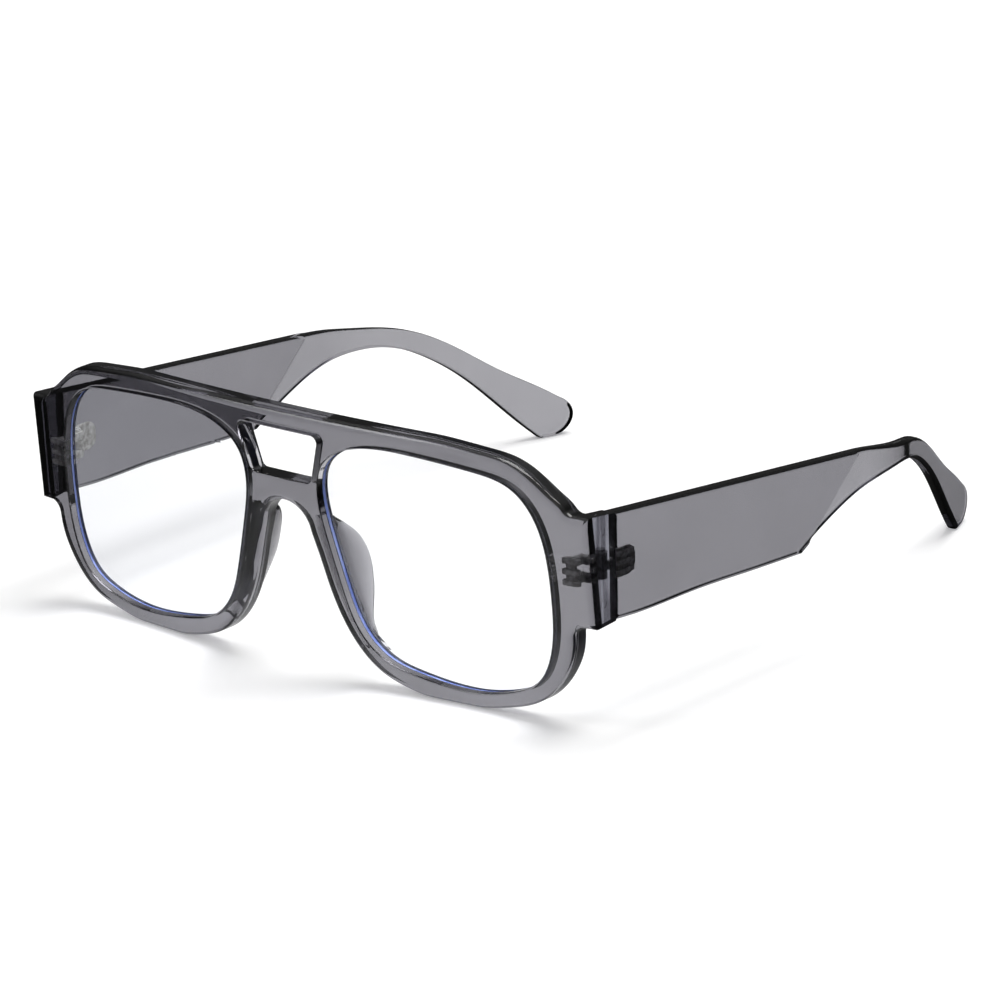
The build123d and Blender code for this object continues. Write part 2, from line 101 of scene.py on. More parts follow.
# The glasses' sizes, in millimetres and degrees. The edges' rounding and the hidden bite of the
# lenses are the looks' own.
LENS_WIDTH, LENS_HEIGHT = 54.3, 48.6
BRIDGE, RIM, RIM_BOTTOM = 19.2, 4.3, 3.4
FRONT_THICK, WRAP_RADIUS, TILT = 4.5, 445.0, 5.3
GAP_TOP_HALF, GAP_FOOT_HALF, GAP_HEIGHT, GAP_CORNER = 10.6, 7.8, 10.4, 1.3
ARCH_DROP, ARCH_LEAN = 5.1, 0.3
END_WIDTH, END_HEIGHT, END_RAISE, END_DEPTH = 9.6, 23.7, 29.7, 16.0
END_WALL, END_TAPER, NOTCH_RADIUS = 3.4, 0.9, 1.9
MARK_RADIUS, MARK_DEPTH, MARK_SETBACK, MARK_RISE = 0.8, 0.15, 1.9, 7.4
LENS_SETBACK, LENS_THICK, LENS_BITE, LENS_PLAY = 1.8, 1.8, 0.3, 0.05
TEMPLE_REACH, TEMPLE_HEIGHT, TEMPLE_THICK, TEMPLE_GAP = 148.35, 22.2, 3.4, 0.05
TEMPLE_SPLAY, BEND_START, BEND_RADIUS, BEND_ANGLE = 1.3, 85.0, 50.0, 21.3
EAR_STEP = 0.6
FRONT_EDGE, OPEN_EDGE, GAP_EDGE, BACK_EDGE, TEMPLE_EDGE = 1.6, 0.4, 0.5, 0.5, 0.9
CAD_EDGE = 0.7
HINGE_HEIGHT, HINGE_DROP, AXIS_INSET, AXIS_BACK = 5.6, 0.3, 5.4, 0.2
KNUCKLE_RADIUS, KNUCKLE_PLAY, ARM_THICK = 1.4, 0.08, 1.3
FOOT_WIDTH, FOOT_DEPTH, FOOT_PROUD, FOOT_ROUND = 4.0, 2.8, 0.6, 1.2
PLATE_LENGTH, PLATE_HEIGHT, PLATE_THICK, PLATE_PROUD, PLATE_SETBACK = 7.2, 6.0, 1.2, 0.4, 0.9
PLATE_ROUND, METAL_EDGE, CORE_SHARE, CORNER_SHARE = 2.4, 0.16, 0.55, 1 / 3
RIB_COUNT, RIB_THICK, RIB_DEPTH_SHARE, ARM_IN_SHARE = 3, 1.1, 0.75, 0.75
SCREW_RADIUS, HEAD_RADIUS, HEAD_HEIGHT, SLOT_WIDTH, SLOT_DEPTH = 0.6, 1.0, 0.5, 0.3, 0.25
SHANK_EDGE, HEAD_EDGE = METAL_EDGE / 2, METAL_EDGE / 3
PAD_TOP, PAD_FOOT, PAD_REACH, PAD_LEAN, PAD_EDGE = 34.4, 7.4, 7.1, 0.3, 1.6
PAD_INSET, PAD_GAP, PAD_CREASE = 0.15, 0.02, 38

# Outlines. OPENING, in shares of the lens opening, starts at the top. The rims add shares of the
# rim's width beside the opening's. The temple's points are shares of its reach and height.
OPENING = [
    (0.449, 1.000), (0.707, 0.979), (0.866, 0.932), (0.947, 0.827), (0.991, 0.650),
    (1.000, 0.465), (0.978, 0.228), (0.915, 0.099), (0.810, 0.037), (0.628, 0.000),
    (0.385, 0.023), (0.247, 0.066), (0.145, 0.169), (0.079, 0.348), (0.026, 0.568),
    (0.000, 0.770), (0.026, 0.872), (0.085, 0.936), (0.201, 0.986),
]
OUTER_RIM = [
    (0.486, 1.000, 0.00, 1.00), (0.731, 0.974, 0.00, 1.08), (0.840, 0.945, 0.30, 1.11),
    (0.893, 0.911, 0.56, 1.00), (0.940, 0.842, 1.09, 0.90), (0.957, 0.800, 1.38, 0.96),
    (0.975, 0.740, 1.52, 0.96), (1.000, 0.600, 1.16, 0.33), (0.995, 0.400, 1.06, 0.27),
    (0.980, 0.245, 1.09, 0.00), (0.955, 0.160, 0.91, -0.16), (0.925, 0.110, 0.60, -0.52),
    (0.880, 0.070, 0.14, -0.84), (0.772, 0.025, 0.00, -0.80),
]
INNER_RIM = [
    (0.330, 0.037, 0.00, -0.98), (0.240, 0.070, -0.26, -0.84), (0.165, 0.135, -0.60, -0.48),
    (0.125, 0.215, -0.84, -0.27), (0.079, 0.348, -1.00, 0.00), (0.045, 0.475, -1.00, 0.00),
    (0.026, 0.572, -1.12, 0.00),
]
FOOT_FLAT = (0.633, 0.450)
CREASE_TOP = (0.5416, 0.824)
CREASE_FOOT = (0.4075, 0.440)
EAR_TOP = [(0.639, 0.771), (0.720, 0.716), (0.761, 0.660), (0.801, 0.583), (0.877, 0.410)]
TIP_TOP = (0.970, 0.218)
TIP = [(0.991, 0.170), (1.000, 0.108), (0.992, 0.040)]
TIP_FLAT = (0.965, 0.945)
EAR_FOOT = [
    (0.917, 0.084), (0.843, 0.327), (0.801, 0.449), (0.761, 0.540), (0.720, 0.610),
    (0.680, 0.646), (0.639, 0.655), (0.552, 0.628), (0.484, 0.556),
]
PANEL_FOOT = [(0.283, 0.460), (0.178, 0.478), (0.044, 0.486)]
# The pad's reach behind the rim, down its height
PAD_LINE = [
    (0.00, 0.10), (0.05, 0.34), (0.16, 0.78), (0.27, 0.97), (0.39, 1.00),
    (0.60, 0.80), (0.80, 0.42), (0.93, 0.22), (1.00, 0.08),
]
TIP_FALL = sqrt(0.5)

OPEN_X = BRIDGE / 2
END_X = OPEN_X + LENS_WIDTH + END_WIDTH
FRONT_HEIGHT = RIM_BOTTOM + LENS_HEIGHT + RIM
DEPTH = END_DEPTH + TEMPLE_GAP + TEMPLE_REACH
EDGE_SET = CAD_EDGE * (tan(radians(TILT)) + 1 / cos(radians(TILT)) - 1)
FRONT_Y = -(DEPTH + EDGE_SET) / 2
END_Y = FRONT_Y + END_DEPTH
TEMPLE_Y = END_Y + TEMPLE_GAP
END_MID = RIM_BOTTOM + END_RAISE
TEMPLE_TOP = END_MID + TEMPLE_HEIGHT / 2
TEMPLE_FOOT = END_MID - TEMPLE_HEIGHT / 2
GAP_TOP = RIM_BOTTOM + LENS_HEIGHT
GAP_FOOT = GAP_TOP - GAP_HEIGHT
ARCH_TOP = GAP_FOOT - ARCH_DROP
SIDE_LEAN = END_TAPER / END_DEPTH
AXIS_X, AXIS_Y = END_X - AXIS_INSET, END_Y + AXIS_BACK
HINGE_Z = END_MID - HINGE_DROP
KNUCKLE_HEIGHT = (HINGE_HEIGHT - 2 * KNUCKLE_PLAY) / 3
FOOT_X = AXIS_X - KNUCKLE_RADIUS + ARM_THICK / 2
PLATE_X = END_X - TEMPLE_THICK - PLATE_PROUD

# How finely the meshes are cut: spacings in millimetres, then numbers of steps
MM = 1000
STEP, PAD_STEP, CREASE_STEP = 0.45, 0.3, 0.5
GRID, LENS_GRID, GRID_ROW_SHARE = 1.6, 3.0, 0.866
CREASE_WIDTH, CREASE_OVERRUN, CREASE_CLEAR = 0.5, 2.0, 0.12
LENS_EDGE = 0.1
WALL_CLEAR = 0.3
NOTCH_SEARCH = 2.0
DOUBLE, ON_EDGE = 0.01, 0.05
FILL_CLOSENESS = 1e-7
ROUND_STEPS, SMALL_ROUND_STEPS = 6, 3
ARC_STEPS, CORNER_STEPS, FILLET_STEPS, ARCH_STEPS = 14, 12, 9, 26
FOOT_KNUCKLE_STEPS, PLATE_KNUCKLE_STEPS, HEAD_STEPS, CIRCLE_STEPS = 24, 30, 20, 32
SIDE_POINTS, WALL_POINTS, CREASE_ROWS, PAD_ROOT_POINTS, PAD_SIDE_POINTS = 45, 25, 7, 9, 13
SIDE_ROUNDS, BAND_ROUNDS = 4, 3

# Outline points nearer to a sharp corner than this share of the edge's radius are left out
CORNER_CLEAR = 1.15
# The cosine of the turn past which an outline's corner is sharp
SHARP = cos(radians(22))
# Keeps the arcsine safe for points beyond the temple's bend
BEND_LIMIT = 0.9


def unit(rows):
    return rows / np.linalg.norm(rows, axis=-1, keepdims=True)


def dots(a, b):
    return (a * b).sum(-1, keepdims=True)


def smooth_line(points, ends=None, closed=False, step=STEP):
    """Points along the cubic spline through a row of points. ends are its end directions."""
    rows = np.array(points, float)
    if closed:
        rows = np.vstack([rows, rows[:1]])
    gaps = np.linalg.norm(np.diff(rows, axis=0), axis=1)
    slopes = np.diff(rows, axis=0) / gaps[:, None]
    count = len(rows)
    system, target = np.zeros((count, count)), np.zeros((count, 2))
    for k in range(1, count - 1):
        system[k, k - 1:k + 2] = gaps[k], 2 * (gaps[k - 1] + gaps[k]), gaps[k - 1]
        target[k] = 3 * (gaps[k] * slopes[k - 1] + gaps[k - 1] * slopes[k])
    if closed:
        system[0, [-2, 0, 1]] = gaps[0], 2 * (gaps[-1] + gaps[0]), gaps[-1]
        target[0] = 3 * (gaps[0] * slopes[-1] + gaps[-1] * slopes[0])
        system[-1, [0, -1]] = 1, -1
    else:
        for row, near, far in ((0, 0, 1), (-1, -1, -2)):
            share = gaps[near] / (gaps[near] + gaps[far])
            system[row, row] = 1
            target[row] = slopes[near] * (1 + share) - slopes[far] * share
            if ends is not None and ends[row] is not None:
                target[row] = unit(np.array(ends[row], float))
    speeds = np.linalg.solve(system, target)
    line = []
    for k, gap in enumerate(gaps):
        t = np.linspace(0, 1, max(2, ceil(gap / step)) + 1)[:-1, None]
        line.append((2 * t**3 - 3 * t**2 + 1) * rows[k] + (t**3 - 2 * t**2 + t) * gap * speeds[k]
                    + (3 * t**2 - 2 * t**3) * rows[k + 1] + (t**3 - t**2) * gap * speeds[k + 1])
    if not closed:
        line.append(rows[-1:])
    return np.vstack(line)


def straight(start, finish, step=STEP):
    start, finish = np.array(start, float), np.array(finish, float)
    count = max(1, ceil(np.linalg.norm(finish - start) / step))
    return start + np.linspace(0, 1, count + 1)[:, None] * (finish - start)


def arc(centre, radius, start, finish, steps=ARC_STEPS):
    turn = np.linspace(start, finish, steps + 1)
    return np.array(centre) + radius * np.stack([np.cos(turn), np.sin(turn)], 1)


def joined(*runs):
    """One row of points from several runs, with the doubled ends dropped."""
    rows = np.vstack(runs)
    keep = np.linalg.norm(np.diff(rows, axis=0), axis=1) > DOUBLE
    return rows[np.append(True, keep)]


def clear_of(line, corners, reach):
    """The row of points without those that crowd a corner, which itself stays."""
    for corner in corners:
        gap = np.linalg.norm(line - corner, axis=1)
        line = line[(gap > reach) | (gap < DOUBLE)]
    return line


def right_normals(loop):
    """For a closed loop: the normal after and before each point, and the mitre between them."""
    ahead = unit(np.roll(loop, -1, 0) - loop)
    after = np.stack([ahead[:, 1], -ahead[:, 0]], 1)
    before = np.roll(after, 1, 0)
    soft = dots(after, before)[:, 0] > SHARP
    mean = unit(after + before)
    mitre = (after + before) / (1 + dots(after, before))
    after[soft], before[soft] = mean[soft], mean[soft]
    return after, before, mitre


def right_sharp(loop):
    """True for the sharp corners of a closed loop."""
    ahead = unit(np.roll(loop, -1, 0) - loop)
    return dots(ahead, np.roll(ahead, 1, 0))[:, 0] < SHARP


class Skin:
    """A closed mesh put together from rings of points, with the true normal at each corner."""

    def __init__(self):
        self.points, self.faces, self.normals = [], [], []
        self.count = 0

    def add(self, faces, normals):
        """Faces that all turn the same way, turned to look along their normals."""
        rows = np.vstack(self.points)
        spots, shine = rows[np.array(faces)], np.array(normals)
        way = np.cross(spots[:, 2] - spots[:, 0], spots[:, -1] - spots[:, 1])
        if (way * shine.sum(1)).sum() < 0:
            faces, shine = [face[::-1] for face in faces], shine[:, ::-1]
        self.faces.extend(faces)
        self.normals.extend(shine)

    def ring(self, points):
        points = np.array(points, float)
        self.points.append(points)
        self.count += len(points)
        return np.arange(self.count - len(points), self.count)

    def strip(self, near, far, near_normals, far_normals, closed=True):
        """Quads between two rings. Normals come as (after, before) for each ring."""
        faces, normals = [], []
        for k in range(len(near) if closed else len(near) - 1):
            n = (k + 1) % len(near)
            faces.append([near[k], near[n], far[n], far[k]])
            normals.append([near_normals[0][k], near_normals[1][n],
                            far_normals[1][n], far_normals[0][k]])
        self.add(faces, normals)

    def fill(self, loops, flat, lift, normal, inner=None):
        """Triangles over the area between closed loops. flat gives a point's place in the plane,
        lift and normal give the place and normal of a new point there."""
        rows = np.vstack(self.points)
        edges, ids = [], []
        for loop in loops:
            start = len(ids)
            ids.extend(loop)
            edges += [(start + k, start + (k + 1) % len(loop)) for k in range(len(loop))]
        plane = [tuple(p) for p in flat(rows[ids])]
        outline = np.array(plane, np.float32).astype(float)
        extra = [] if inner is None else inner(outline, edges)
        made = delaunay_2d_cdt([Vector(p) for p in plane] + [Vector(p) for p in extra],
                               edges, [], 0, FILL_CLOSENESS)
        spots, triangles, sources = np.array([tuple(p) for p in made[0]]), made[2], made[3]
        centres = np.array([spots[list(t)].mean(0) for t in triangles])
        keep = inside(centres, outline, edges)
        names, fresh = {}, []
        for k, source in enumerate(sources):
            known = [s for s in source if s < len(ids)]
            if known:
                names[k] = ids[known[0]]
            else:
                names[k] = self.count + len(fresh)
                fresh.append(spots[k])
        if fresh:
            self.ring(lift(np.array(fresh)))
        shine = normal(spots)
        kept = [t for t, wanted in zip(triangles, keep)
                if wanted and len({names[v] for v in t}) == 3]
        self.add([[names[v] for v in t] for t in kept], [[shine[v] for v in t] for t in kept])

    def build(self, name, finish, mirrored=False):
        """The finished mesh as an object, in metres."""
        points = np.vstack(self.points) / MM
        if mirrored:
            points = points * (-1, 1, 1)
        faces, corners = [], []
        for face, normals in zip(self.faces, self.normals):
            if mirrored:
                face, normals = face[::-1], normals[::-1] * (-1, 1, 1)
            faces.append([int(v) for v in face])
            corners.extend(normals)
        piece = new_piece(name, points, faces, finish)
        piece.data.normals_split_custom_set([tuple(n) for n in unit(np.array(corners))])
        return piece


def placed(name, data):
    """A new object in the scene."""
    made = bpy.data.objects.new(name, data)
    bpy.context.scene.collection.objects.link(made)
    return made


def new_piece(name, points, faces, finish):
    mesh = bpy.data.meshes.new(name)
    mesh.from_pydata([tuple(p) for p in points], [], faces)
    mesh.polygons.foreach_set("use_smooth", [True] * len(faces))
    mesh.materials.append(finish)
    return placed(name, mesh)


def marked(piece, name, spans):
    """Marks runs of faces, for their material to read."""
    values = np.zeros(len(piece.data.polygons))
    for first, last in spans:
        values[first:last] = 1.0
    piece.data.attributes.new(name, "FLOAT", "FACE").data.foreach_set("value", values)


def inside(spots, outline, edges):
    """True for spots with an odd number of edges to their right."""
    odd = np.zeros(len(spots), bool)
    for a, b in edges:
        (x0, z0), (x1, z1) = outline[a], outline[b]
        if z0 == z1:
            continue
        level = (z0 > spots[:, 1]) != (z1 > spots[:, 1])
        odd ^= level & (spots[:, 0] < x0 + (spots[:, 1] - z0) / (z1 - z0) * (x1 - x0))
    return odd


def clear_inside(spots, outline, edges, margin):
    """The spots inside an area that keep a margin from its outline's points."""
    spots = spots[inside(spots, outline, edges)]
    clear = [np.min(np.hypot(*(outline - s).T)) > margin for s in spots]
    return [tuple(s) for s in spots[clear]]


def grid_points(step, margin):
    """A maker of evenly spread points inside an area, clear of its edges."""
    def points(outline, edges):
        low, high = outline.min(0), outline.max(0)
        xs = np.arange(low[0] + step / 2, high[0], step)
        zs = np.arange(low[1] + step / 2, high[1], step * GRID_ROW_SHARE)
        spots = np.array([(x + step / 2 * (k % 2), z) for k, z in enumerate(zs) for x in xs])
        return clear_inside(spots, outline, edges, margin)
    return points


def turned(a, b, reach, share):
    """Directions from a to reach, a share of the turn from a to b. reach is b itself, or longer
    where a mitred corner has to meet."""
    angle = np.arccos(np.clip(dots(a, b), -1, 1))
    return (np.sin((1 - share) * angle) * a + np.sin(share * angle) * reach) / np.sin(angle)


def wrap_root(x, below):
    """Distance of the front's wrap from its axis plane, at a depth below its face."""
    return np.sqrt((WRAP_RADIUS - below)**2 - x**2)


def face_y(x, z, below=0.0):
    """The front's wrapped and tilted face."""
    drop = tan(radians(TILT)) * (FRONT_HEIGHT - z)
    return FRONT_Y + drop + (WRAP_RADIUS - wrap_root(x, below)) / cos(radians(TILT))


def face_normal(x, z, below=0.0):
    """Normal of a layer of the front, towards the viewer."""
    lean = x / wrap_root(x, below) / cos(radians(TILT))
    return unit(np.stack([lean, -np.ones_like(x), np.full_like(x, -tan(radians(TILT)))], -1))


def on_face(flat, below=0.0):
    return np.stack([flat[:, 0], face_y(flat[:, 0], flat[:, 1], below), flat[:, 1]], 1)


def opening_at(u, v):
    """A place in the left lens opening, from shares of its width and height."""
    return (OPEN_X + u * LENS_WIDTH, RIM_BOTTOM + v * LENS_HEIGHT)


def rim_at(u, v, a, b):
    """A place beside the opening, with shares of the rim's width added."""
    x, z = opening_at(u, v)
    return (x + a * RIM, z + b * RIM)


def band_edge(x, z, sign):
    """Height of an end piece's top or bottom where it meets the front's face."""
    slope = band_slope()
    return END_MID + sign * (TEMPLE_HEIGHT / 2 + slope * (END_Y - face_y(x, z)))


def band_slope():
    bend_y = float(face_y(END_X, END_MID))
    return (END_HEIGHT - TEMPLE_HEIGHT) / 2 / (END_Y - bend_y)


def side_x(z):
    """Where an end piece's tapered side meets the front's face."""
    x = END_X
    for _ in range(SIDE_ROUNDS):
        x = END_X - SIDE_LEAN * (END_Y - face_y(x, z))
    return float(x)


def notch(line, sign):
    """Where a fillet leaves the rim's outer line for an end piece, and the fillet's centre."""
    along = unit(np.gradient(line, axis=0))
    centres = line + NOTCH_RADIUS * np.stack([along[:, 1], -along[:, 0]], 1)
    wanted = band_edge(centres[:, 0], centres[:, 1], sign) + sign * NOTCH_RADIUS
    miss = centres[:, 1] - wanted
    near = (line[:, 0] > OPEN_X + LENS_WIDTH - NOTCH_SEARCH) & ((line[:, 1] - END_MID) * sign > 0)
    last = [k for k in np.where(near)[0][:-1] if miss[k] * miss[k + 1] <= 0][0]
    share = miss[last] / (miss[last] - miss[last + 1])
    centre = centres[last] + share * (centres[last + 1] - centres[last])
    touch = line[last] + share * (line[last + 1] - line[last])
    return last, touch, centre


def wall_x(x0, x1):
    """Where an end piece's inner wall face meets its top or bottom, clear of the notch's fillet."""
    return max(x1 - END_WALL, x0 + WALL_CLEAR)


def end_run(start, x1, sign):
    """Points along an end piece's top or bottom from a fillet's end, and the number of the one
    that lies over its inner wall face."""
    turn_x = wall_x(start[0], x1)
    count = ceil((turn_x - start[0]) / STEP)
    xs = np.concatenate([np.linspace(start[0], turn_x, count + 1),
                         np.linspace(turn_x, x1, ceil(END_WALL / STEP) + 1)[1:]])
    zs = np.full_like(xs, END_MID + sign * END_HEIGHT / 2)
    for _ in range(BAND_ROUNDS):
        zs = band_edge(xs, zs, sign)
    run = np.stack([xs, zs], 1)
    run[0] = start
    return run, count


def half_outline():
    """Right half of the front's outline, from the arch's middle round to the top's. With it come
    the lean of its walls, in X and Z for each millimetre back, and the end piece's two bounds."""
    flat_out, flat_in = [(OPEN_X + u * LENS_WIDTH, 0.0) for u in FOOT_FLAT]
    outer = [rim_at(*row) for row in OUTER_RIM]
    inner = [rim_at(*row) for row in INNER_RIM]
    spring = np.array(inner[-1])
    rise = ARCH_TOP - spring[1]
    radius = (spring[0]**2 + rise**2) / (2 * rise)
    arch = arc((0, ARCH_TOP - radius), radius, pi / 2,
               atan2(spring[1] - ARCH_TOP + radius, spring[0]), ARCH_STEPS)
    nose = smooth_line([flat_in, *inner], ends=[(-1, 0), (-ARCH_LEAN, 1)])[::-1]
    rim = smooth_line([*outer, flat_out], ends=[(1, 0), (-1, 0)])[::-1]
    low, low_touch, low_centre = notch(rim, -1)
    high, high_touch, high_centre = notch(rim, 1)
    low_turn = atan2(*(low_touch - low_centre)[::-1])
    high_turn = atan2(*(high_touch - high_centre)[::-1])
    low_arc = arc(low_centre, NOTCH_RADIUS, low_turn, pi / 2, FILLET_STEPS)
    high_arc = arc(high_centre, NOTCH_RADIUS, -pi / 2, high_turn - 2 * pi * (high_turn > 0),
                   FILLET_STEPS)
    foot_x, head_x = side_x(END_MID - END_HEIGHT / 2), side_x(END_MID + END_HEIGHT / 2)
    foot, foot_turn = end_run(low_arc[-1], foot_x, -1)
    head, head_turn = end_run(high_arc[0], head_x, 1)
    wall_corners = foot[foot_turn], head[head_turn]
    head = head[::-1]
    side_zs = np.linspace(foot[-1, 1], head[0, 1], SIDE_POINTS)
    side = np.stack([[side_x(z) for z in side_zs], side_zs], 1)
    side[0], side[-1] = foot[-1], head[0]
    top = straight(rim[-1], (0, FRONT_HEIGHT))
    line = joined(arch, nose, straight(flat_in, flat_out), rim[:low + 1], [low_touch], low_arc,
                  foot, side, head, high_arc, [high_touch], rim[high + 1:], top)
    line = clear_of(line, (foot[-1], head[0]), CORNER_CLEAR * FRONT_EDGE)
    slope = band_slope()
    lean = np.zeros_like(line)
    for k, (x, z) in enumerate(line):
        sign = 1 if z > END_MID else -1
        bend = high_arc if sign > 0 else low_arc
        start, full = bend[:, 0].min(), bend[:, 0].max()
        turn_x = wall_x(full, head_x if sign > 0 else foot_x)
        edge = band_edge(x, z, sign)
        if x <= start or abs(z - END_MID) > abs(edge - END_MID) + NOTCH_RADIUS:
            continue
        lean[k, 0] = SIDE_LEAN * min(1, max(0, (x - full) / (turn_x - full)))
        lean[k, 1] = -sign * slope * min(1, (x - start) / (full - start))
        if abs(z - edge) > ON_EDGE and x > full:
            lean[k, 1] *= (z - END_MID) / (edge - END_MID)
    bounds = [int(np.argmin(np.hypot(*(line - spot).T))) for spot in wall_corners]
    return line, lean, bounds


class FrontSheet:
    """The wrapped front as layers at a depth. Flat places are (x, z)."""

    columns = [0, 2]

    def point(self, flat, depth):
        return on_face(flat, depth)

    def normal(self, flat, depth):
        return face_normal(flat[:, 0], flat[:, 1], depth)

    def upright(self, way, lean):
        return np.stack([way[:, 0], -(way * lean).sum(1), way[:, 1]], 1)


class TempleSheet:
    """The left temple as layers below its outer face. Flat places are (y, z)."""

    columns = [1, 2]
    turn = radians(TEMPLE_SPLAY)
    tail_turn = radians(TEMPLE_SPLAY - BEND_ANGLE)
    top = np.array([TEMPLE_Y + CREASE_TOP[0] * TEMPLE_REACH, CREASE_TOP[1] * TEMPLE_TOP])
    foot = np.array([TEMPLE_Y + CREASE_FOOT[0] * TEMPLE_REACH, CREASE_FOOT[1] * TEMPLE_TOP])
    along = unit(top - foot)
    behind = np.array([along[1], -along[0]])
    centre = np.array([END_X + BEND_START * sin(turn) - BEND_RADIUS * cos(turn),
                       TEMPLE_Y + BEND_START * cos(turn) + BEND_RADIUS * sin(turn)])

    def heading(self, ys, depth):
        """Turn of the temple's length from straight back, at each place along it."""
        radius = BEND_RADIUS - depth
        arc_turn = -np.arcsin(np.clip((ys - self.centre[1]) / radius, -BEND_LIMIT, BEND_LIMIT))
        return np.clip(arc_turn, self.tail_turn, self.turn)

    def past_crease(self, flat):
        return np.clip((flat - self.foot) @ self.behind / CREASE_WIDTH + 0.5, 0, 1)

    def step(self, flat):
        share = self.past_crease(flat)
        return EAR_STEP * share * share * (3 - 2 * share)

    def point(self, flat, depth):
        ys, zs = flat[:, 0], flat[:, 1]
        below = depth + self.step(flat) * (np.asarray(depth) < TEMPLE_THICK / 2)
        turn = self.heading(ys, below)
        radius = BEND_RADIUS - below
        start_x = END_X - below * cos(self.turn)
        start_y = TEMPLE_Y + below * sin(self.turn)
        straight_x = start_x + (ys - start_y) * tan(self.turn)
        bend_x = self.centre[0] + radius * np.cos(turn)
        tail_y = self.centre[1] - radius * sin(self.tail_turn)
        tail_x = (self.centre[0] + radius * cos(self.tail_turn)
                  + (ys - tail_y) * tan(self.tail_turn))
        xs = np.where(turn <= self.tail_turn, tail_x, bend_x)
        xs = np.where(turn >= self.turn, straight_x, xs)
        return np.stack([xs, ys, zs], 1)

    def normal(self, flat, depth):
        turn = self.heading(flat[:, 0], np.asarray(depth))
        out = np.stack([np.cos(turn), -np.sin(turn), np.zeros_like(turn)], 1)
        if np.all(np.asarray(depth) > TEMPLE_THICK / 2):
            return out
        share = self.past_crease(flat)
        slope = (EAR_STEP * 6 * share * (1 - share) / CREASE_WIDTH)[:, None]
        lay = np.stack([np.sin(turn) * self.behind[0], np.cos(turn) * self.behind[0],
                        np.full_like(turn, self.behind[1])], 1)
        return unit(out + slope * lay)

    def upright(self, way, lean):
        return np.stack([np.zeros(len(way)), way[:, 0], way[:, 1]], 1)


class Wall:
    """The side wall that stands on a closed outline and crosses a sheet's layers."""

    def __init__(self, sheet, loop, lean=None):
        self.sheet, self.loop = sheet, loop
        self.lean = np.zeros_like(loop) if lean is None else lean
        self.after, self.before, self.mitre = right_normals(loop)
        self.normals = [unit(sheet.upright(way, self.lean)) for way in (self.after, self.before)]
        self.reach = sheet.upright(self.mitre, self.lean)

    def ring(self, skin, depth, out=0.0):
        """A ring of the wall at a depth, moved out of the wall by a distance."""
        flat = self.loop + self.lean * depth + out * self.mitre
        return skin.ring(self.sheet.point(flat, depth)), self.normals

    def polish(self, skin, depth, radius, way=1, steps=ROUND_STEPS):
        """Rings of a rounded edge from the face at a depth to the wall. way is 1 for the outer
        face and -1 for the back."""
        deep = depth + way * radius
        flat = self.loop + self.lean * deep - radius * self.mitre
        centre = self.sheet.point(flat, deep)
        face = way * self.sheet.normal(flat, depth)
        mean = unit(self.normals[0] + self.normals[1])
        rings = []
        for share in np.linspace(0, 1, steps + 1):
            spots = centre + radius * turned(face, mean, self.reach, share)
            rings.append((skin.ring(spots),
                          [turned(face, side, side, share) for side in self.normals]))
        return rings


def link_rings(skin, rings):
    for (near, near_normals), (far, far_normals) in zip(rings, rings[1:]):
        skin.strip(near, far, near_normals, far_normals)


def face_fill(skin, sheet, loops, depth, way=1, inner=None):
    skin.fill(loops, lambda rows: rows[:, sheet.columns], lambda flat: sheet.point(flat, depth),
              lambda flat: way * sheet.normal(flat, depth), inner)


def flat_fill(skin, loops, columns, normal):
    """A flat face between loops, worked out from two of its points' three columns."""
    skin.fill(loops, lambda rows: rows[:, columns], None,
              lambda flat: np.tile(normal, (len(flat), 1)))


def opening_loop(side):
    loop = smooth_line([opening_at(u, v) for u, v in OPENING], closed=True)
    return loop if side > 0 else loop[::-1] * (-1, 1)


def rounded(corners, radius, steps=CORNER_STEPS):
    """A closed outline through straight sides with rounded corners."""
    corners = np.array(corners, float)
    runs = []
    for k, corner in enumerate(corners):
        before = unit(corners[k - 1] - corner)
        after = unit(corners[(k + 1) % len(corners)] - corner)
        half = np.arccos(before @ after) / 2
        centre = corner + unit(before + after) * radius / sin(half)
        first = corner + before * radius / tan(half) - centre
        last = corner + after * radius / tan(half) - centre
        start = atan2(first[1], first[0])
        sweep = (atan2(last[1], last[0]) - start + pi) % (2 * pi) - pi
        runs.append(arc(centre, radius, start, start + sweep, steps))
    loop = []
    for k, run in enumerate(runs):
        loop += [run, straight(run[-1], runs[(k + 1) % len(runs)][0])]
    return joined(*loop)[:-1]


def gap_loop():
    return rounded([(-GAP_TOP_HALF, GAP_TOP), (GAP_TOP_HALF, GAP_TOP),
                    (GAP_FOOT_HALF, GAP_FOOT), (-GAP_FOOT_HALF, GAP_FOOT)], GAP_CORNER)


class FlatSheet:
    """A flat face seen from outside. Flat places are measured from its middle."""

    def __init__(self, middle, across, up):
        self.middle, self.across = np.array(middle, float), unit(np.array(across, float))
        self.up = unit(np.array(up, float))
        self.out = np.cross(self.across, self.up)

    def flat(self, rows):
        return np.stack([(rows - self.middle) @ self.across, (rows - self.middle) @ self.up], 1)

    def point(self, flat, depth):
        return (self.middle + flat[:, :1] * self.across + flat[:, 1:] * self.up
                - depth * self.out)

    def normal(self, flat, depth):
        return np.tile(self.out, (len(flat), 1))

    def upright(self, way, lean):
        return way[:, :1] * self.across + way[:, 1:] * self.up


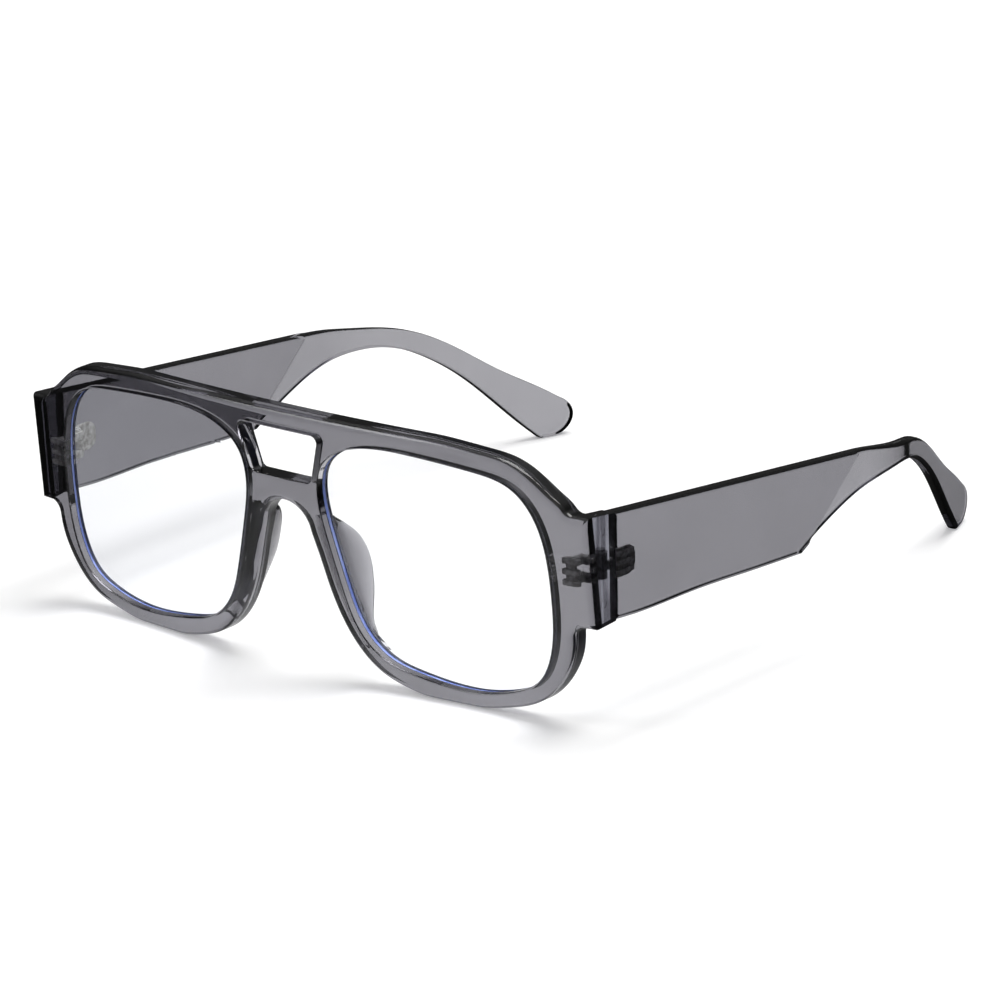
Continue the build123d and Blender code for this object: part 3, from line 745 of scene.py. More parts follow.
def slab(skin, sheet, loop, thickness, edge=METAL_EDGE):
    """A flat slab with rounded edges, down from a sheet. Its outline runs anticlockwise."""
    wall = Wall(sheet, loop)
    rings = wall.polish(skin, 0, edge, steps=SMALL_ROUND_STEPS)
    rings += wall.polish(skin, thickness, edge, way=-1, steps=SMALL_ROUND_STEPS)[::-1]
    link_rings(skin, rings)
    skin.fill([rings[0][0]], sheet.flat, None, lambda flat: sheet.normal(flat, 0))
    skin.fill([rings[-1][0]], sheet.flat, None, lambda flat: -sheet.normal(flat, 0))


def box_loop(width, height):
    return np.array([(-width, -height), (width, -height), (width, height), (-width, height)]) / 2


def circle_loop(radius):
    return arc((0, 0), radius, 0, 2 * pi, CIRCLE_STEPS)[:-1]


def level_sheet(x, y, height):
    """A level face seen from above."""
    return FlatSheet((x, y, height), (1, 0, 0), (0, 1, 0))


def above(height):
    """A level sheet over the left hinge's axis."""
    return level_sheet(AXIS_X, AXIS_Y, height)


def ribbed(piece, rib, spacing):
    """Adds an upright row of copies of a rib to a piece, made by Geometry Nodes."""
    tree = bpy.data.node_groups.new("hinge_ribs", "GeometryNodeTree")
    new_socket = tree.interface.new_socket
    new_socket("Geometry", in_out="INPUT", socket_type="NodeSocketGeometry")
    count = new_socket("Rib count", in_out="INPUT", socket_type="NodeSocketInt")
    gap = new_socket("Rib spacing", in_out="INPUT", socket_type="NodeSocketFloat")
    shape = new_socket("Rib", in_out="INPUT", socket_type="NodeSocketObject")
    finish = new_socket("Finish", in_out="INPUT", socket_type="NodeSocketMaterial")
    new_socket("Geometry", in_out="OUTPUT", socket_type="NodeSocketGeometry")
    shop = Shop(tree)
    given = shop.node("NodeGroupInput")
    source = shop.node("GeometryNodeObjectInfo")
    row = shop.node("GeometryNodeMeshLine")
    offset, start = shop.node("ShaderNodeCombineXYZ"), shop.node("ShaderNodeCombineXYZ")
    gaps = shop.node("ShaderNodeMath", operation="SUBTRACT")
    gaps.inputs[1].default_value = 1.0
    height = shop.node("ShaderNodeMath", operation="MULTIPLY")
    lowest = shop.node("ShaderNodeMath", operation="MULTIPLY")
    lowest.inputs[1].default_value = -0.5
    copies = shop.node("GeometryNodeInstanceOnPoints")
    both = shop.node("GeometryNodeJoinGeometry")
    real = shop.node("GeometryNodeRealizeInstances")
    paint = shop.node("GeometryNodeSetMaterial")
    out = shop.node("NodeGroupOutput")
    for near, far in (
            (given.outputs["Rib"], source.inputs["Object"]),
            (given.outputs["Rib count"], row.inputs["Count"]),
            (given.outputs["Rib count"], gaps.inputs[0]),
            (gaps.outputs[0], height.inputs[0]),
            (given.outputs["Rib spacing"], height.inputs[1]),
            (height.outputs[0], lowest.inputs[0]),
            (lowest.outputs[0], start.inputs["Z"]),
            (start.outputs[0], row.inputs["Start Location"]),
            (given.outputs["Rib spacing"], offset.inputs["Z"]),
            (offset.outputs[0], row.inputs["Offset"]),
            (row.outputs[0], copies.inputs["Points"]),
            (source.outputs["Geometry"], copies.inputs["Instance"]),
            (given.outputs["Geometry"], both.inputs[0]),
            (copies.outputs[0], both.inputs[0]),
            (both.outputs[0], real.inputs[0]),
            (real.outputs[0], paint.inputs["Geometry"]),
            (given.outputs["Finish"], paint.inputs["Material"]),
            (paint.outputs[0], out.inputs[0])):
        shop.link(near, far)
    maker = piece.modifiers.new("ribs", "NODES")
    maker.node_group = tree
    for socket, value in ((count, RIB_COUNT), (gap, spacing / MM), (shape, rib),
                          (finish, piece.data.materials[0])):
        maker[socket.identifier] = value
    worked_out = piece.evaluated_get(bpy.context.evaluated_depsgraph_get())
    made = bpy.data.meshes.new_from_object(worked_out)
    piece.modifiers.clear()
    piece.data = made
    bpy.data.objects.remove(rib)
    return piece


def hinge_front_piece(name, side, finish):
    """Anchor with ribs in the front's back, and two arms with the outer knuckles."""
    foot_y = float(face_y(FOOT_X, HINGE_Z, FRONT_THICK)) + FOOT_PROUD
    mid_y = foot_y - FOOT_DEPTH / 2
    skin = Skin()
    core = rounded(box_loop(FOOT_WIDTH * CORE_SHARE, FOOT_DEPTH * CORE_SHARE),
                   FOOT_ROUND * CORNER_SHARE)
    core_height = HINGE_HEIGHT - RIB_THICK
    slab(skin, level_sheet(FOOT_X, mid_y, HINGE_Z + core_height / 2), core, core_height)
    start = foot_y - FOOT_PROUD - AXIS_Y
    edge_x = ARM_THICK - KNUCKLE_RADIUS
    bend = -pi / 2 + np.arcsin(edge_x / KNUCKLE_RADIUS)
    arm = joined(straight((-KNUCKLE_RADIUS, 0), (-KNUCKLE_RADIUS, start)),
                 straight((-KNUCKLE_RADIUS, start), (edge_x, start)),
                 straight((edge_x, start), (edge_x, KNUCKLE_RADIUS * sin(bend))),
                 arc((0, 0), KNUCKLE_RADIUS, bend, pi, FOOT_KNUCKLE_STEPS))[:-1]
    arm = clear_of(arm, arm[right_sharp(arm)], METAL_EDGE * CORNER_CLEAR)
    for level in (HINGE_Z + HINGE_HEIGHT / 2, HINGE_Z - HINGE_HEIGHT / 2 + KNUCKLE_HEIGHT):
        slab(skin, above(level), arm, KNUCKLE_HEIGHT)
    piece = skin.build(name, finish, side < 0)
    rib_skin = Skin()
    slab(rib_skin, level_sheet(FOOT_X, mid_y, HINGE_Z + RIB_THICK / 2),
         rounded(box_loop(FOOT_WIDTH, FOOT_DEPTH), FOOT_ROUND), RIB_THICK)
    rib = rib_skin.build("rib", finish, side < 0)
    return ribbed(piece, rib, core_height / (RIB_COUNT - 1))


def hinge_temple_piece(name, side, finish):
    """Ribbed plate in the temple's inner face, and one arm with the middle knuckle."""
    turn = radians(TEMPLE_SPLAY)
    along, out = np.array([sin(turn), cos(turn), 0]), np.array([cos(turn), -sin(turn), 0])
    run = PLATE_SETBACK + PLATE_LENGTH / 2
    middle = np.array([PLATE_X + run * tan(turn), TEMPLE_Y + run, HINGE_Z])
    skin = Skin()
    half = PLATE_THICK / 2
    slab(skin, FlatSheet(middle + half * out, along, (0, 0, 1)),
         rounded(box_loop(PLATE_LENGTH, PLATE_HEIGHT), PLATE_ROUND), half)
    reach = PLATE_X + PLATE_PROUD / 2 - AXIS_X
    low, high = KNUCKLE_RADIUS - ARM_IN_SHARE * ARM_THICK, KNUCKLE_RADIUS - METAL_EDGE
    turn_low, turn_high = np.arcsin(low / KNUCKLE_RADIUS), np.arcsin(high / KNUCKLE_RADIUS)
    arm = joined(straight((KNUCKLE_RADIUS * cos(turn_low), low), (reach, low)),
                 straight((reach, low), (reach, high)),
                 straight((reach, high), (KNUCKLE_RADIUS * cos(turn_high), high)),
                 arc((0, 0), KNUCKLE_RADIUS, turn_high, turn_low + 2 * pi,
                     PLATE_KNUCKLE_STEPS))[:-1]
    arm = clear_of(arm, arm[right_sharp(arm)], METAL_EDGE * CORNER_CLEAR)
    slab(skin, above(HINGE_Z + KNUCKLE_HEIGHT / 2), arm, KNUCKLE_HEIGHT)
    piece = skin.build(name, finish, side < 0)
    rib_skin = Skin()
    slab(rib_skin, FlatSheet(middle + PLATE_THICK * out, along, (0, 0, 1)),
         rounded(box_loop(PLATE_LENGTH - PLATE_ROUND / 2, RIB_THICK), RIB_THICK * CORNER_SHARE),
         PLATE_THICK * RIB_DEPTH_SHARE)
    rib = rib_skin.build("rib", finish, side < 0)
    return ribbed(piece, rib, (PLATE_HEIGHT - 2 * RIB_THICK) / (RIB_COUNT - 1))


def screw_piece(name, side, finish):
    """Slotted screw: a shank and a head whose top is cut in two by the slot."""
    skin = Skin()
    top = HINGE_Z + HINGE_HEIGHT / 2
    slab(skin, above(top), circle_loop(SCREW_RADIUS), HINGE_HEIGHT, SHANK_EDGE)
    slot_floor = HEAD_HEIGHT - SLOT_DEPTH
    slab(skin, above(top + slot_floor), circle_loop(HEAD_RADIUS), slot_floor, HEAD_EDGE)
    lean = np.arcsin(SLOT_WIDTH / 2 / HEAD_RADIUS)
    for start in (lean, pi + lean):
        bow = arc((0, 0), HEAD_RADIUS, start, start + pi - 2 * lean, HEAD_STEPS)
        cheek = joined(bow, straight(bow[-1], bow[0]))[:-1]
        slab(skin, above(top + HEAD_HEIGHT), cheek, SLOT_DEPTH + HEAD_EDGE, HEAD_EDGE)
    return skin.build(name, finish, side < 0)


def across(points, z):
    """X of an outline at one height, from its points."""
    rows = np.array(sorted(points, key=lambda point: point[1]))
    return float(np.interp(z, rows[:, 1], rows[:, 0]))


def nose_pad_piece(name, side, finish):
    """Moulded pad behind the rim, as rings of points up its height."""
    nose_line = [rim_at(*row) for row in INNER_RIM]
    mouth_line = [opening_at(u, v) for u, v in OPENING
                  if u < FOOT_FLAT[1] and opening_at(u, v)[1] < GAP_FOOT]
    height = PAD_TOP - PAD_FOOT
    profile = smooth_line([(down * height, reach) for down, reach in PAD_LINE], step=PAD_STEP)
    side_shares = np.linspace(0, 1, PAD_SIDE_POINTS)[1:-1, None]
    rings = []
    for down, reach in profile:
        z = PAD_TOP - down
        near, far = across(nose_line, z) + PAD_INSET, across(mouth_line, z) - PAD_INSET
        root = float(face_y(near, z, FRONT_THICK))
        back = root + reach * PAD_REACH
        edge = PAD_EDGE / 2
        tip_x = near + edge + (far - near - 2 * edge + reach * PAD_REACH) * PAD_LEAN
        tip = arc((tip_x, back - edge), edge, pi, 0, CORNER_STEPS)
        foot_xs = np.linspace(far, near, PAD_ROOT_POINTS)
        foot_ys = face_y(foot_xs, np.full_like(foot_xs, z), FRONT_THICK) + PAD_GAP
        foot = np.stack([foot_xs, foot_ys], 1)
        near_side = foot[-1] + side_shares * (tip[0] - foot[-1])
        far_side = tip[-1] + side_shares * (foot[0] - tip[-1])
        ring = np.vstack([foot, near_side, tip, far_side])
        floor = face_y(ring[:, 0], np.full(len(ring), z), FRONT_THICK) + PAD_GAP
        ring[:, 1] = np.maximum(ring[:, 1], floor)
        rings.append(np.column_stack([ring, np.full(len(ring), z)]))
    points = np.vstack(rings) * (side, 1, 1) / MM
    size = len(rings[0])
    faces = []
    for k in range(len(rings) - 1):
        for n in range(size):
            m = (n + 1) % size
            low, high = k * size, (k + 1) * size
            faces.append((low + n, low + m, high + m, high + n))
    faces += [tuple(range(size))[::-1], tuple(range(len(points) - size, len(points)))]
    if side < 0:
        faces = [face[::-1] for face in faces]
    piece = new_piece(name, points, faces, finish)
    piece.data.set_sharp_from_angle(angle=radians(PAD_CREASE))
    return piece


def end_wall(skin, ring_back, wall, span, side):
    """The part of an end piece behind the plate: outer faces, inner face with its two marks and
    the flat that meets the temple. Returns the points along the plate's inner corner."""
    rows = list(range(span[0], span[1] + 1))
    back_points = np.vstack(skin.points)[ring_back[rows]]
    flat = wall.loop[rows] + wall.lean[rows] * (END_Y - face_y(*wall.loop[rows].T))[:, None]
    end_points = np.stack([flat[:, 0], np.full(len(rows), END_Y), flat[:, 1]], 1)
    end_ring = skin.ring(end_points)
    normals = [part[rows] for part in wall.normals]
    skin.strip(ring_back[rows], end_ring, normals, normals, closed=False)
    rises = np.linspace(0, 1, WALL_POINTS)[1:-1, None]
    corner = skin.ring(back_points[0] + rises * (back_points[-1] - back_points[0]))
    lip = skin.ring(end_points[0] + rises * (end_points[-1] - end_points[0]))
    around = [ring_back[rows[0]], *corner, ring_back[rows[-1]],
              end_ring[-1], *lip[::-1], end_ring[0]]
    inward = unit(np.array([-side, SIDE_LEAN, 0.0]))
    rise_x, rise_z = end_points[[0, -1] if side > 0 else [-1, 0]][:, [0, 2]].T
    loops = [around]
    turn = np.linspace(0, 2 * pi, CIRCLE_STEPS + 1)[:-1]
    for rise in (-MARK_RISE, MARK_RISE):
        circle = np.stack([np.zeros_like(turn), END_Y - MARK_SETBACK + MARK_RADIUS * np.cos(turn),
                           END_MID + rise + MARK_RADIUS * np.sin(turn)], 1)
        rims = []
        for deep in (0, MARK_DEPTH):
            circle[:, 0] = np.interp(circle[:, 2], rise_z, rise_x)
            circle[:, 0] += side * (deep - SIDE_LEAN * (END_Y - circle[:, 1]))
            rims.append(skin.ring(circle))
        towards = -np.stack([np.zeros_like(turn), np.cos(turn), np.sin(turn)], 1)
        skin.strip(rims[0], rims[1], [towards] * 2, [towards] * 2)
        flat_fill(skin, [rims[1]], [1, 2], inward)
        loops.append(rims[0])
    flat_fill(skin, loops, [1, 2], inward)
    flat_fill(skin, [[*end_ring, *lip[::-1]]], [0, 2], np.array([0.0, 1.0, 0.0]))
    return list(corner)


def groove_and_edges(skin, sheet, wall):
    """A lens opening's wall: its polished edges and the lens groove. Returns the ring of its front
    edge, that of its back edge, and the numbers of the groove's faces."""
    near, far = LENS_SETBACK - LENS_PLAY, LENS_SETBACK + LENS_THICK + LENS_PLAY
    reach = -(LENS_BITE + LENS_PLAY)
    front_rings = wall.polish(skin, 0, OPEN_EDGE)
    back_rings = wall.polish(skin, FRONT_THICK, BACK_EDGE, way=-1)[::-1]
    near_lip, near_floor = wall.ring(skin, near), wall.ring(skin, near, reach)
    far_floor, far_lip = wall.ring(skin, far, reach), wall.ring(skin, far)
    link_rings(skin, front_rings + [near_lip])
    link_rings(skin, [far_lip] + back_rings)
    start = len(skin.faces)
    for lip, floor, depth, way in ((near_lip, near_floor, near, -1), (far_lip, far_floor, far, 1)):
        facing = [way * sheet.normal(wall.loop, depth)] * 2
        skin.strip(lip[0], floor[0], facing, facing)
    link_rings(skin, [near_floor, far_floor])
    return front_rings[0][0], back_rings[-1][0], (start, len(skin.faces))


def front_piece(finish):
    half, half_lean, (foot, head) = half_outline()
    loop = np.vstack([half, half[::-1][1:-1] * (-1, 1)])
    lean = np.vstack([half_lean, half_lean[::-1][1:-1] * (-1, 1)])
    sheet, skin = FrontSheet(), Skin()
    outer = Wall(sheet, loop, lean)
    faces, backs = [], []
    rings = outer.polish(skin, 0, FRONT_EDGE)
    rings.append(outer.ring(skin, FRONT_THICK))
    link_rings(skin, rings)
    faces.append(rings[0][0])
    back_ring = rings[-1][0]
    count = len(loop)
    spans = {1: (foot, head), -1: (count - head, count - foot)}
    corners, dull, grooves = {}, [], []
    # The end pieces' inner faces, rougher and coloured darker as painted shade
    for side, span in spans.items():
        first = len(skin.faces) + span[1] - span[0]
        corners[side] = end_wall(skin, back_ring, outer, span, side)
        dull.append((first, len(skin.faces)))
    around = []
    for k in range(count):
        if spans[1][0] < k < spans[1][1] or spans[-1][0] < k < spans[-1][1]:
            continue
        around.append(back_ring[k])
        for side in (1, -1):
            if k == spans[side][0]:
                around += corners[side]
    backs.append(around)
    for side in (1, -1):
        face, back, groove = groove_and_edges(skin, sheet, Wall(sheet, opening_loop(side)))
        faces.append(face)
        backs.append(back)
        grooves.append(groove)
    wall = Wall(sheet, gap_loop())
    rings = wall.polish(skin, 0, GAP_EDGE)
    rings += wall.polish(skin, FRONT_THICK, BACK_EDGE, way=-1)[::-1]
    link_rings(skin, rings)
    faces.append(rings[0][0])
    backs.append(rings[-1][0])
    evenly = grid_points(GRID, GRID / 2)
    face_fill(skin, sheet, faces, 0, inner=evenly)
    face_fill(skin, sheet, backs, FRONT_THICK, way=-1, inner=evenly)
    piece = skin.build("front_clear_plastic", finish)
    marked(piece, "unpolished_painted_shade", dull)
    # The lens grooves' faces, which their material colours near black as painted shade
    marked(piece, "groove", grooves)
    return piece


def lens_piece(name, side, finish, rim_finish):
    sheet, skin = FrontSheet(), Skin()
    mouth = opening_loop(side)[::-1]
    wall = Wall(sheet, mouth + LENS_BITE * Wall(sheet, mouth).mitre)
    front_rings = wall.polish(skin, LENS_SETBACK, LENS_EDGE, steps=SMALL_ROUND_STEPS)
    back_rings = wall.polish(skin, LENS_SETBACK + LENS_THICK, LENS_EDGE, way=-1,
                             steps=SMALL_ROUND_STEPS)[::-1]
    link_rings(skin, front_rings + back_rings)
    evenly = grid_points(LENS_GRID, LENS_GRID / 2)
    ground = len(skin.faces)
    face_fill(skin, sheet, [front_rings[0][0]], LENS_SETBACK, inner=evenly)
    face_fill(skin, sheet, [back_rings[-1][0]], LENS_SETBACK + LENS_THICK, way=-1, inner=evenly)
    piece = skin.build(name, finish)
    piece.data.materials.append(rim_finish)
    for polygon in piece.data.polygons[:ground]:
        polygon.material_index = 1
    return piece


def temple_at(u, v):
    """A place on the temple's side, from shares of its reach and height."""
    return (TEMPLE_Y + u * TEMPLE_REACH, v * TEMPLE_TOP)


def temple_outline():
    """The temple's closed outline in y and z, with no points crowding its two sharp corners."""
    crease_top, crease_foot = temple_at(*CREASE_TOP), temple_at(*CREASE_FOOT)
    top_start, foot_start = (TEMPLE_Y, TEMPLE_TOP), (TEMPLE_Y, TEMPLE_FOOT)
    tip_top = temple_at(*TIP_TOP)
    heel, toe = [temple_at(u, 0) for u in TIP_FLAT]
    slope = (crease_top[0] - TEMPLE_Y, crease_top[1] - TEMPLE_TOP)
    fall = (1, -TIP_FALL)
    line = joined(
        straight(foot_start, top_start), straight(top_start, crease_top),
        smooth_line([crease_top, *[temple_at(*p) for p in EAR_TOP], tip_top], ends=[slope, fall]),
        smooth_line([tip_top, *[temple_at(*p) for p in TIP], heel], ends=[fall, (-1, 0)]),
        straight(heel, toe),
        smooth_line([toe, *[temple_at(*p) for p in EAR_FOOT], crease_foot]),
        smooth_line([crease_foot, *[temple_at(*p) for p in PANEL_FOOT], foot_start]),
    )[:-1][::-1]
    return clear_of(line, (top_start, foot_start), CORNER_CLEAR * TEMPLE_EDGE)


def temple_piece(name, side, finish):
    sheet, skin = TempleSheet(), Skin()
    wall = Wall(sheet, temple_outline())
    outer_rings = wall.polish(skin, 0, TEMPLE_EDGE)
    inner_rings = wall.polish(skin, TEMPLE_THICK, TEMPLE_EDGE, way=-1)[::-1]
    link_rings(skin, outer_rings + inner_rings)
    evenly = grid_points(GRID, GRID / 2)

    def with_crease(outline, edges):
        """Even points, and closer rows along the crease."""
        spots = [p for p in evenly(outline, edges)
                 if abs((np.array(p) - sheet.foot) @ sheet.behind) > CREASE_WIDTH]
        length = np.linalg.norm(sheet.top - sheet.foot)
        rows = []
        for share in np.linspace(-0.5, 0.5, CREASE_ROWS):
            for run in np.arange(-CREASE_OVERRUN, length + CREASE_OVERRUN, CREASE_STEP):
                rows.append(sheet.foot + run * sheet.along + share * CREASE_WIDTH * sheet.behind)
        return spots + clear_inside(np.array(rows), outline, edges, CREASE_CLEAR)

    face_fill(skin, sheet, [outer_rings[0][0]], 0, inner=with_crease)
    face_fill(skin, sheet, [inner_rings[-1][0]], TEMPLE_THICK, way=-1, inner=evenly)
    return skin.build(name, finish, side < 0)


def camera_axes():
    turn, rise, roll = (radians(a) for a in (VIEW_AZIMUTH, VIEW_ELEVATION, VIEW_ROLL))
    back = Vector((sin(turn) * cos(rise), -cos(turn) * cos(rise), sin(rise)))
    level = Vector((cos(turn), sin(turn), 0))
    upright = back.cross(level)
    right = cos(roll) * level + sin(roll) * upright
    up = -sin(roll) * level + cos(roll) * upright
    return right, up, back


def place_camera():
    right, up, back = camera_axes()
    data = bpy.data.cameras.new("camera")
    data.sensor_width = SENSOR_MM
    data.lens = LENS_MM
    data.clip_start, data.clip_end = CLIP_START, CLIP_END
    camera = placed("camera", data)
    turn = Matrix((right, up, back)).transposed().to_4x4()
    camera.matrix_world = Matrix.Translation(Vector(VIEW_TARGET) + VIEW_DISTANCE * back) @ turn
    bpy.context.scene.camera = camera


class Shop:
    """A node tree, with short ways to add nodes and links."""

    def __init__(self, tree):
        self.tree = tree
        tree.nodes.clear()

    def node(self, kind, **values):
        made = self.tree.nodes.new(kind)
        for key, value in values.items():
            setattr(made, key, value)
        return made

    def link(self, source, target):
        self.tree.links.new(source, target)

    def feed(self, value, target):
        """Gives a socket a link, where value is another socket, or else a number or a colour."""
        if isinstance(value, bpy.types.NodeSocket):
            self.link(value, target)
        elif target.type == "RGBA":
            target.default_value = (*value, 1)
        else:
            target.default_value = value


def material(name):
    made = bpy.data.materials.new(name)
    made.use_nodes = True
    return made, Shop(made.node_tree)


def shares(shop, *names):
    """1 where any of these Light Path outputs is 1 or more, else 0."""
    path = shop.node("ShaderNodeLightPath")
    total = path.outputs[names[0]]
    for name in names[1:]:
        either = shop.node("ShaderNodeMath", operation="MAXIMUM")
        shop.link(total, either.inputs[0])
        shop.link(path.outputs[name], either.inputs[1])
        total = either.outputs[0]
    limit = shop.node("ShaderNodeMath", operation="MINIMUM")
    limit.inputs[1].default_value = 1.0
    shop.link(total, limit.inputs[0])
    return limit.outputs[0]


def mixed(shop, share, low, high, kind, ending):
    mix = shop.node("ShaderNodeMix", data_type=kind)
    sockets = {socket.identifier: socket for socket in (*mix.inputs, *mix.outputs)}
    shop.feed(share, sockets["Factor_Float"])
    shop.feed(low, sockets["A_" + ending])
    shop.feed(high, sockets["B_" + ending])
    return sockets["Result_" + ending]


def choose(shop, share, low, high):
    """low where share is 0, high where it is 1. Each is a number or a socket."""
    return mixed(shop, share, low, high, "FLOAT", "Float")


def blended(shop, share, low, high):
    """A colour part of the way from low to high, each a colour or a socket."""
    return mixed(shop, share, low, high, "RGBA", "Color")


def room_light(shop, matt, direct, mirrored):
    """A level for matt surfaces, one for what is seen or looked through, and one for what shows
    in reflections, so that polished plastic has the dark edges it has in a studio."""
    seen = choose(shop, shares(shop, "Is Camera Ray", "Is Glossy Ray", "Is Transmission Ray"),
                  matt, direct)
    return choose(shop, shares(shop, "Glossy Depth"), seen, mirrored)


def white_room():
    world = bpy.data.worlds.new("white_room")
    bpy.context.scene.world = world
    world.use_nodes = True
    shop = Shop(world.node_tree)
    out = shop.node("ShaderNodeOutputWorld")
    glow = shop.node("ShaderNodeBackground")
    glow.inputs["Color"].default_value = (1, 1, 1, 1)
    spot = shop.node("ShaderNodeTexCoord")
    height = shop.node("ShaderNodeSeparateXYZ")
    shop.link(spot.outputs["Generated"], height.inputs[0])
    rise = spread(shop, height.outputs["Z"], MIRRORED_WALLS, MIRRORED_CEILING, *CEILING_SPAN,
                  interpolation_type="SMOOTHSTEP")
    shop.link(room_light(shop, ROOM_LEVEL, 1.0, rise), glow.inputs["Strength"])
    shop.link(glow.outputs[0], out.inputs["Surface"])


def pale_floor():
    mesh = bpy.data.meshes.new("floor")
    half = FLOOR_SIZE / 2
    corners = [(-half, -half, 0), (half, -half, 0), (half, half, 0), (-half, half, 0)]
    mesh.from_pydata(corners, [], [(0, 1, 2, 3)])
    floor = placed("floor", mesh)
    made, shop = material("floor_white")
    out = shop.node("ShaderNodeOutputMaterial")
    matt = shop.node("ShaderNodeBsdfDiffuse")
    place = shop.node("ShaderNodeTexCoord")
    away = shop.node("ShaderNodeVectorMath", operation="DISTANCE")
    away.inputs[1].default_value = (0, FRONT_Y / MM, 0)
    shop.link(place.outputs["Object"], away.inputs[0])
    near = spread(shop, away.outputs["Value"], *MIRRORED_FLOOR, *MIRRORED_SPAN)
    shop.link(room_light(shop, FLOOR_COLOUR, FLOOR_COLOUR, near), matt.inputs["Color"])
    glow = shop.node("ShaderNodeEmission")
    both = shop.node("ShaderNodeAddShader")
    shop.link(room_light(shop, 0.0, FLOOR_GLOW, 0.0), glow.inputs["Strength"])
    shop.link(matt.outputs[0], both.inputs[0])
    shop.link(glow.outputs[0], both.inputs[1])
    shop.link(both.outputs[0], out.inputs["Surface"])
    mesh.materials.append(made)


def softbox(name, spot, size, watts):
    data = bpy.data.lights.new(name, "AREA")
    data.shape = "RECTANGLE"
    data.size, data.size_y = size
    data.energy = watts
    lamp = placed(name, data)
    aim = Vector(spot)
    lamp.matrix_world = Matrix.Translation(aim) @ aim.to_track_quat("Z", "Y").to_matrix().to_4x4()


def spread(shop, source, low, high, start=0.0, finish=1.0, **settings):
    """low to high, each a number or a socket, as source goes from start to finish."""
    made = shop.node("ShaderNodeMapRange", **settings)
    for key, value in (("Value", source), ("From Min", start), ("From Max", finish),
                       ("To Min", low), ("To Max", high)):
        shop.feed(value, made.inputs[key])
    return made.outputs["Result"]


def noise(shop, place, scale, detail, stretch=None):
    """A noise over the surface. Its scale is a number or a socket."""
    if stretch is not None:
        turn = shop.node("ShaderNodeMapping")
        turn.inputs["Scale"].default_value = stretch
        shop.link(place, turn.inputs["Vector"])
        place = turn.outputs["Vector"]
    made = shop.node("ShaderNodeTexNoise")
    shop.feed(scale, made.inputs["Scale"])
    made.inputs["Detail"].default_value = detail
    shop.link(place, made.inputs["Vector"])
    return made.outputs["Fac"]


def new_group(name, values, **outputs):
    """A shader node group whose inputs start at values. Returns its tree, object coordinates, and
    its inputs and outputs as they are inside it."""
    tree = bpy.data.node_groups.new(name, "ShaderNodeTree")
    for label, value in values.items():
        given = tree.interface.new_socket(label, in_out="INPUT", socket_type="NodeSocketFloat")
        given.default_value = value
    for label, kind in outputs.items():
        tree.interface.new_socket(label, in_out="OUTPUT", socket_type="NodeSocket" + kind)
    shop = Shop(tree)
    place = shop.node("ShaderNodeTexCoord").outputs["Object"]
    return (tree, shop, place, shop.node("NodeGroupInput").outputs,
            shop.node("NodeGroupOutput").inputs)


def polished_surface():
    """Handled polished plastic: faint clouds in its colour, finger smudges that dull it, hairline
    scratches and the slow waves that tumbling leaves."""
    tree, shop, place, given, out = new_group(
        "polished_surface", POLISH, Cloud="Color", Smudge="Float", Height="Float")
    clouds = noise(shop, place, *CLOUD_NOISE)
    level = spread(shop, clouds, given["Cloud level"], 1.0, *CLOUD_SPAN)
    cloud = shop.node("ShaderNodeCombineColor")
    for channel in ("Red", "Green", "Blue"):
        shop.link(level, cloud.inputs[channel])
    smudges = noise(shop, place, *SMUDGE_NOISE)
    smear = spread(shop, smudges, 0.0, given["Smudge roughness"], *SMUDGE_SPAN)
    scratches = noise(shop, place, *SCRATCH_NOISE)
    lines = spread(shop, scratches, 0.0, given["Scratch depth"], *SCRATCH_SPAN)
    waves = spread(shop, noise(shop, place, *WAVE_NOISE), 0.0, given["Wave depth"])
    both = shop.node("ShaderNodeMath", operation="SUBTRACT")
    shop.link(waves, both.inputs[0])
    shop.link(lines, both.inputs[1])
    shop.link(cloud.outputs[0], out["Cloud"])
    shop.link(smear, out["Smudge"])
    shop.link(both.outputs[0], out["Height"])
    return tree


def drawn_surface():
    """Upright tool streaks."""
    tree, shop, place, given, out = new_group("drawn_surface", STREAKS, Streak="Float")
    streaks = noise(shop, place, given["Streaks per metre"], *STREAK_GRAIN)
    shop.link(spread(shop, streaks, 0.0, 1.0, *STREAK_SPAN), out["Streak"])
    return tree


def plated_surface():
    """Barrel-plated metal: fine grain, rubbed patches and darker pits."""
    tree, shop, place, given, out = new_group(
        "plated_surface", PLATING, Rub="Float", Dull="Float", Height="Float")
    for label, source, *spans in (
            ("Rub", RUB_NOISE, 0.0, 1.0, *RUB_SPAN),
            ("Dull", BRUSH_NOISE, given["Least roughness"], given["Most roughness"]),
            ("Height", PIT_NOISE, 0.0, given["Pit depth"])):
        shop.link(spread(shop, noise(shop, place, *source), *spans), out[label])
    return tree


def grouped(shop, tree, values):
    """The outputs of a surface group that has this material's values."""
    made = shop.node("ShaderNodeGroup")
    made.node_tree = tree
    for label, value in values.items():
        made.inputs[label].default_value = value
    return made.outputs


def raised(shop, height, body):
    """Bump from a height in metres."""
    bump = shop.node("ShaderNodeBump")
    bump.inputs["Distance"].default_value = 1.0
    shop.link(height, bump.inputs["Height"])
    shop.link(bump.outputs["Normal"], body.inputs["Normal"])


def let_lamps_through(shop, body, shade, out):
    """Glass whose shadow is a tint, not black."""
    through = shop.node("ShaderNodeBsdfTransparent")
    through.inputs["Color"].default_value = (*shade, 1)
    path = shop.node("ShaderNodeLightPath")
    mix = shop.node("ShaderNodeMixShader")
    shop.link(path.outputs["Is Shadow Ray"], mix.inputs[0])
    shop.link(body.outputs[0], mix.inputs[1])
    shop.link(through.outputs[0], mix.inputs[2])
    shop.link(mix.outputs[0], out.inputs["Surface"])


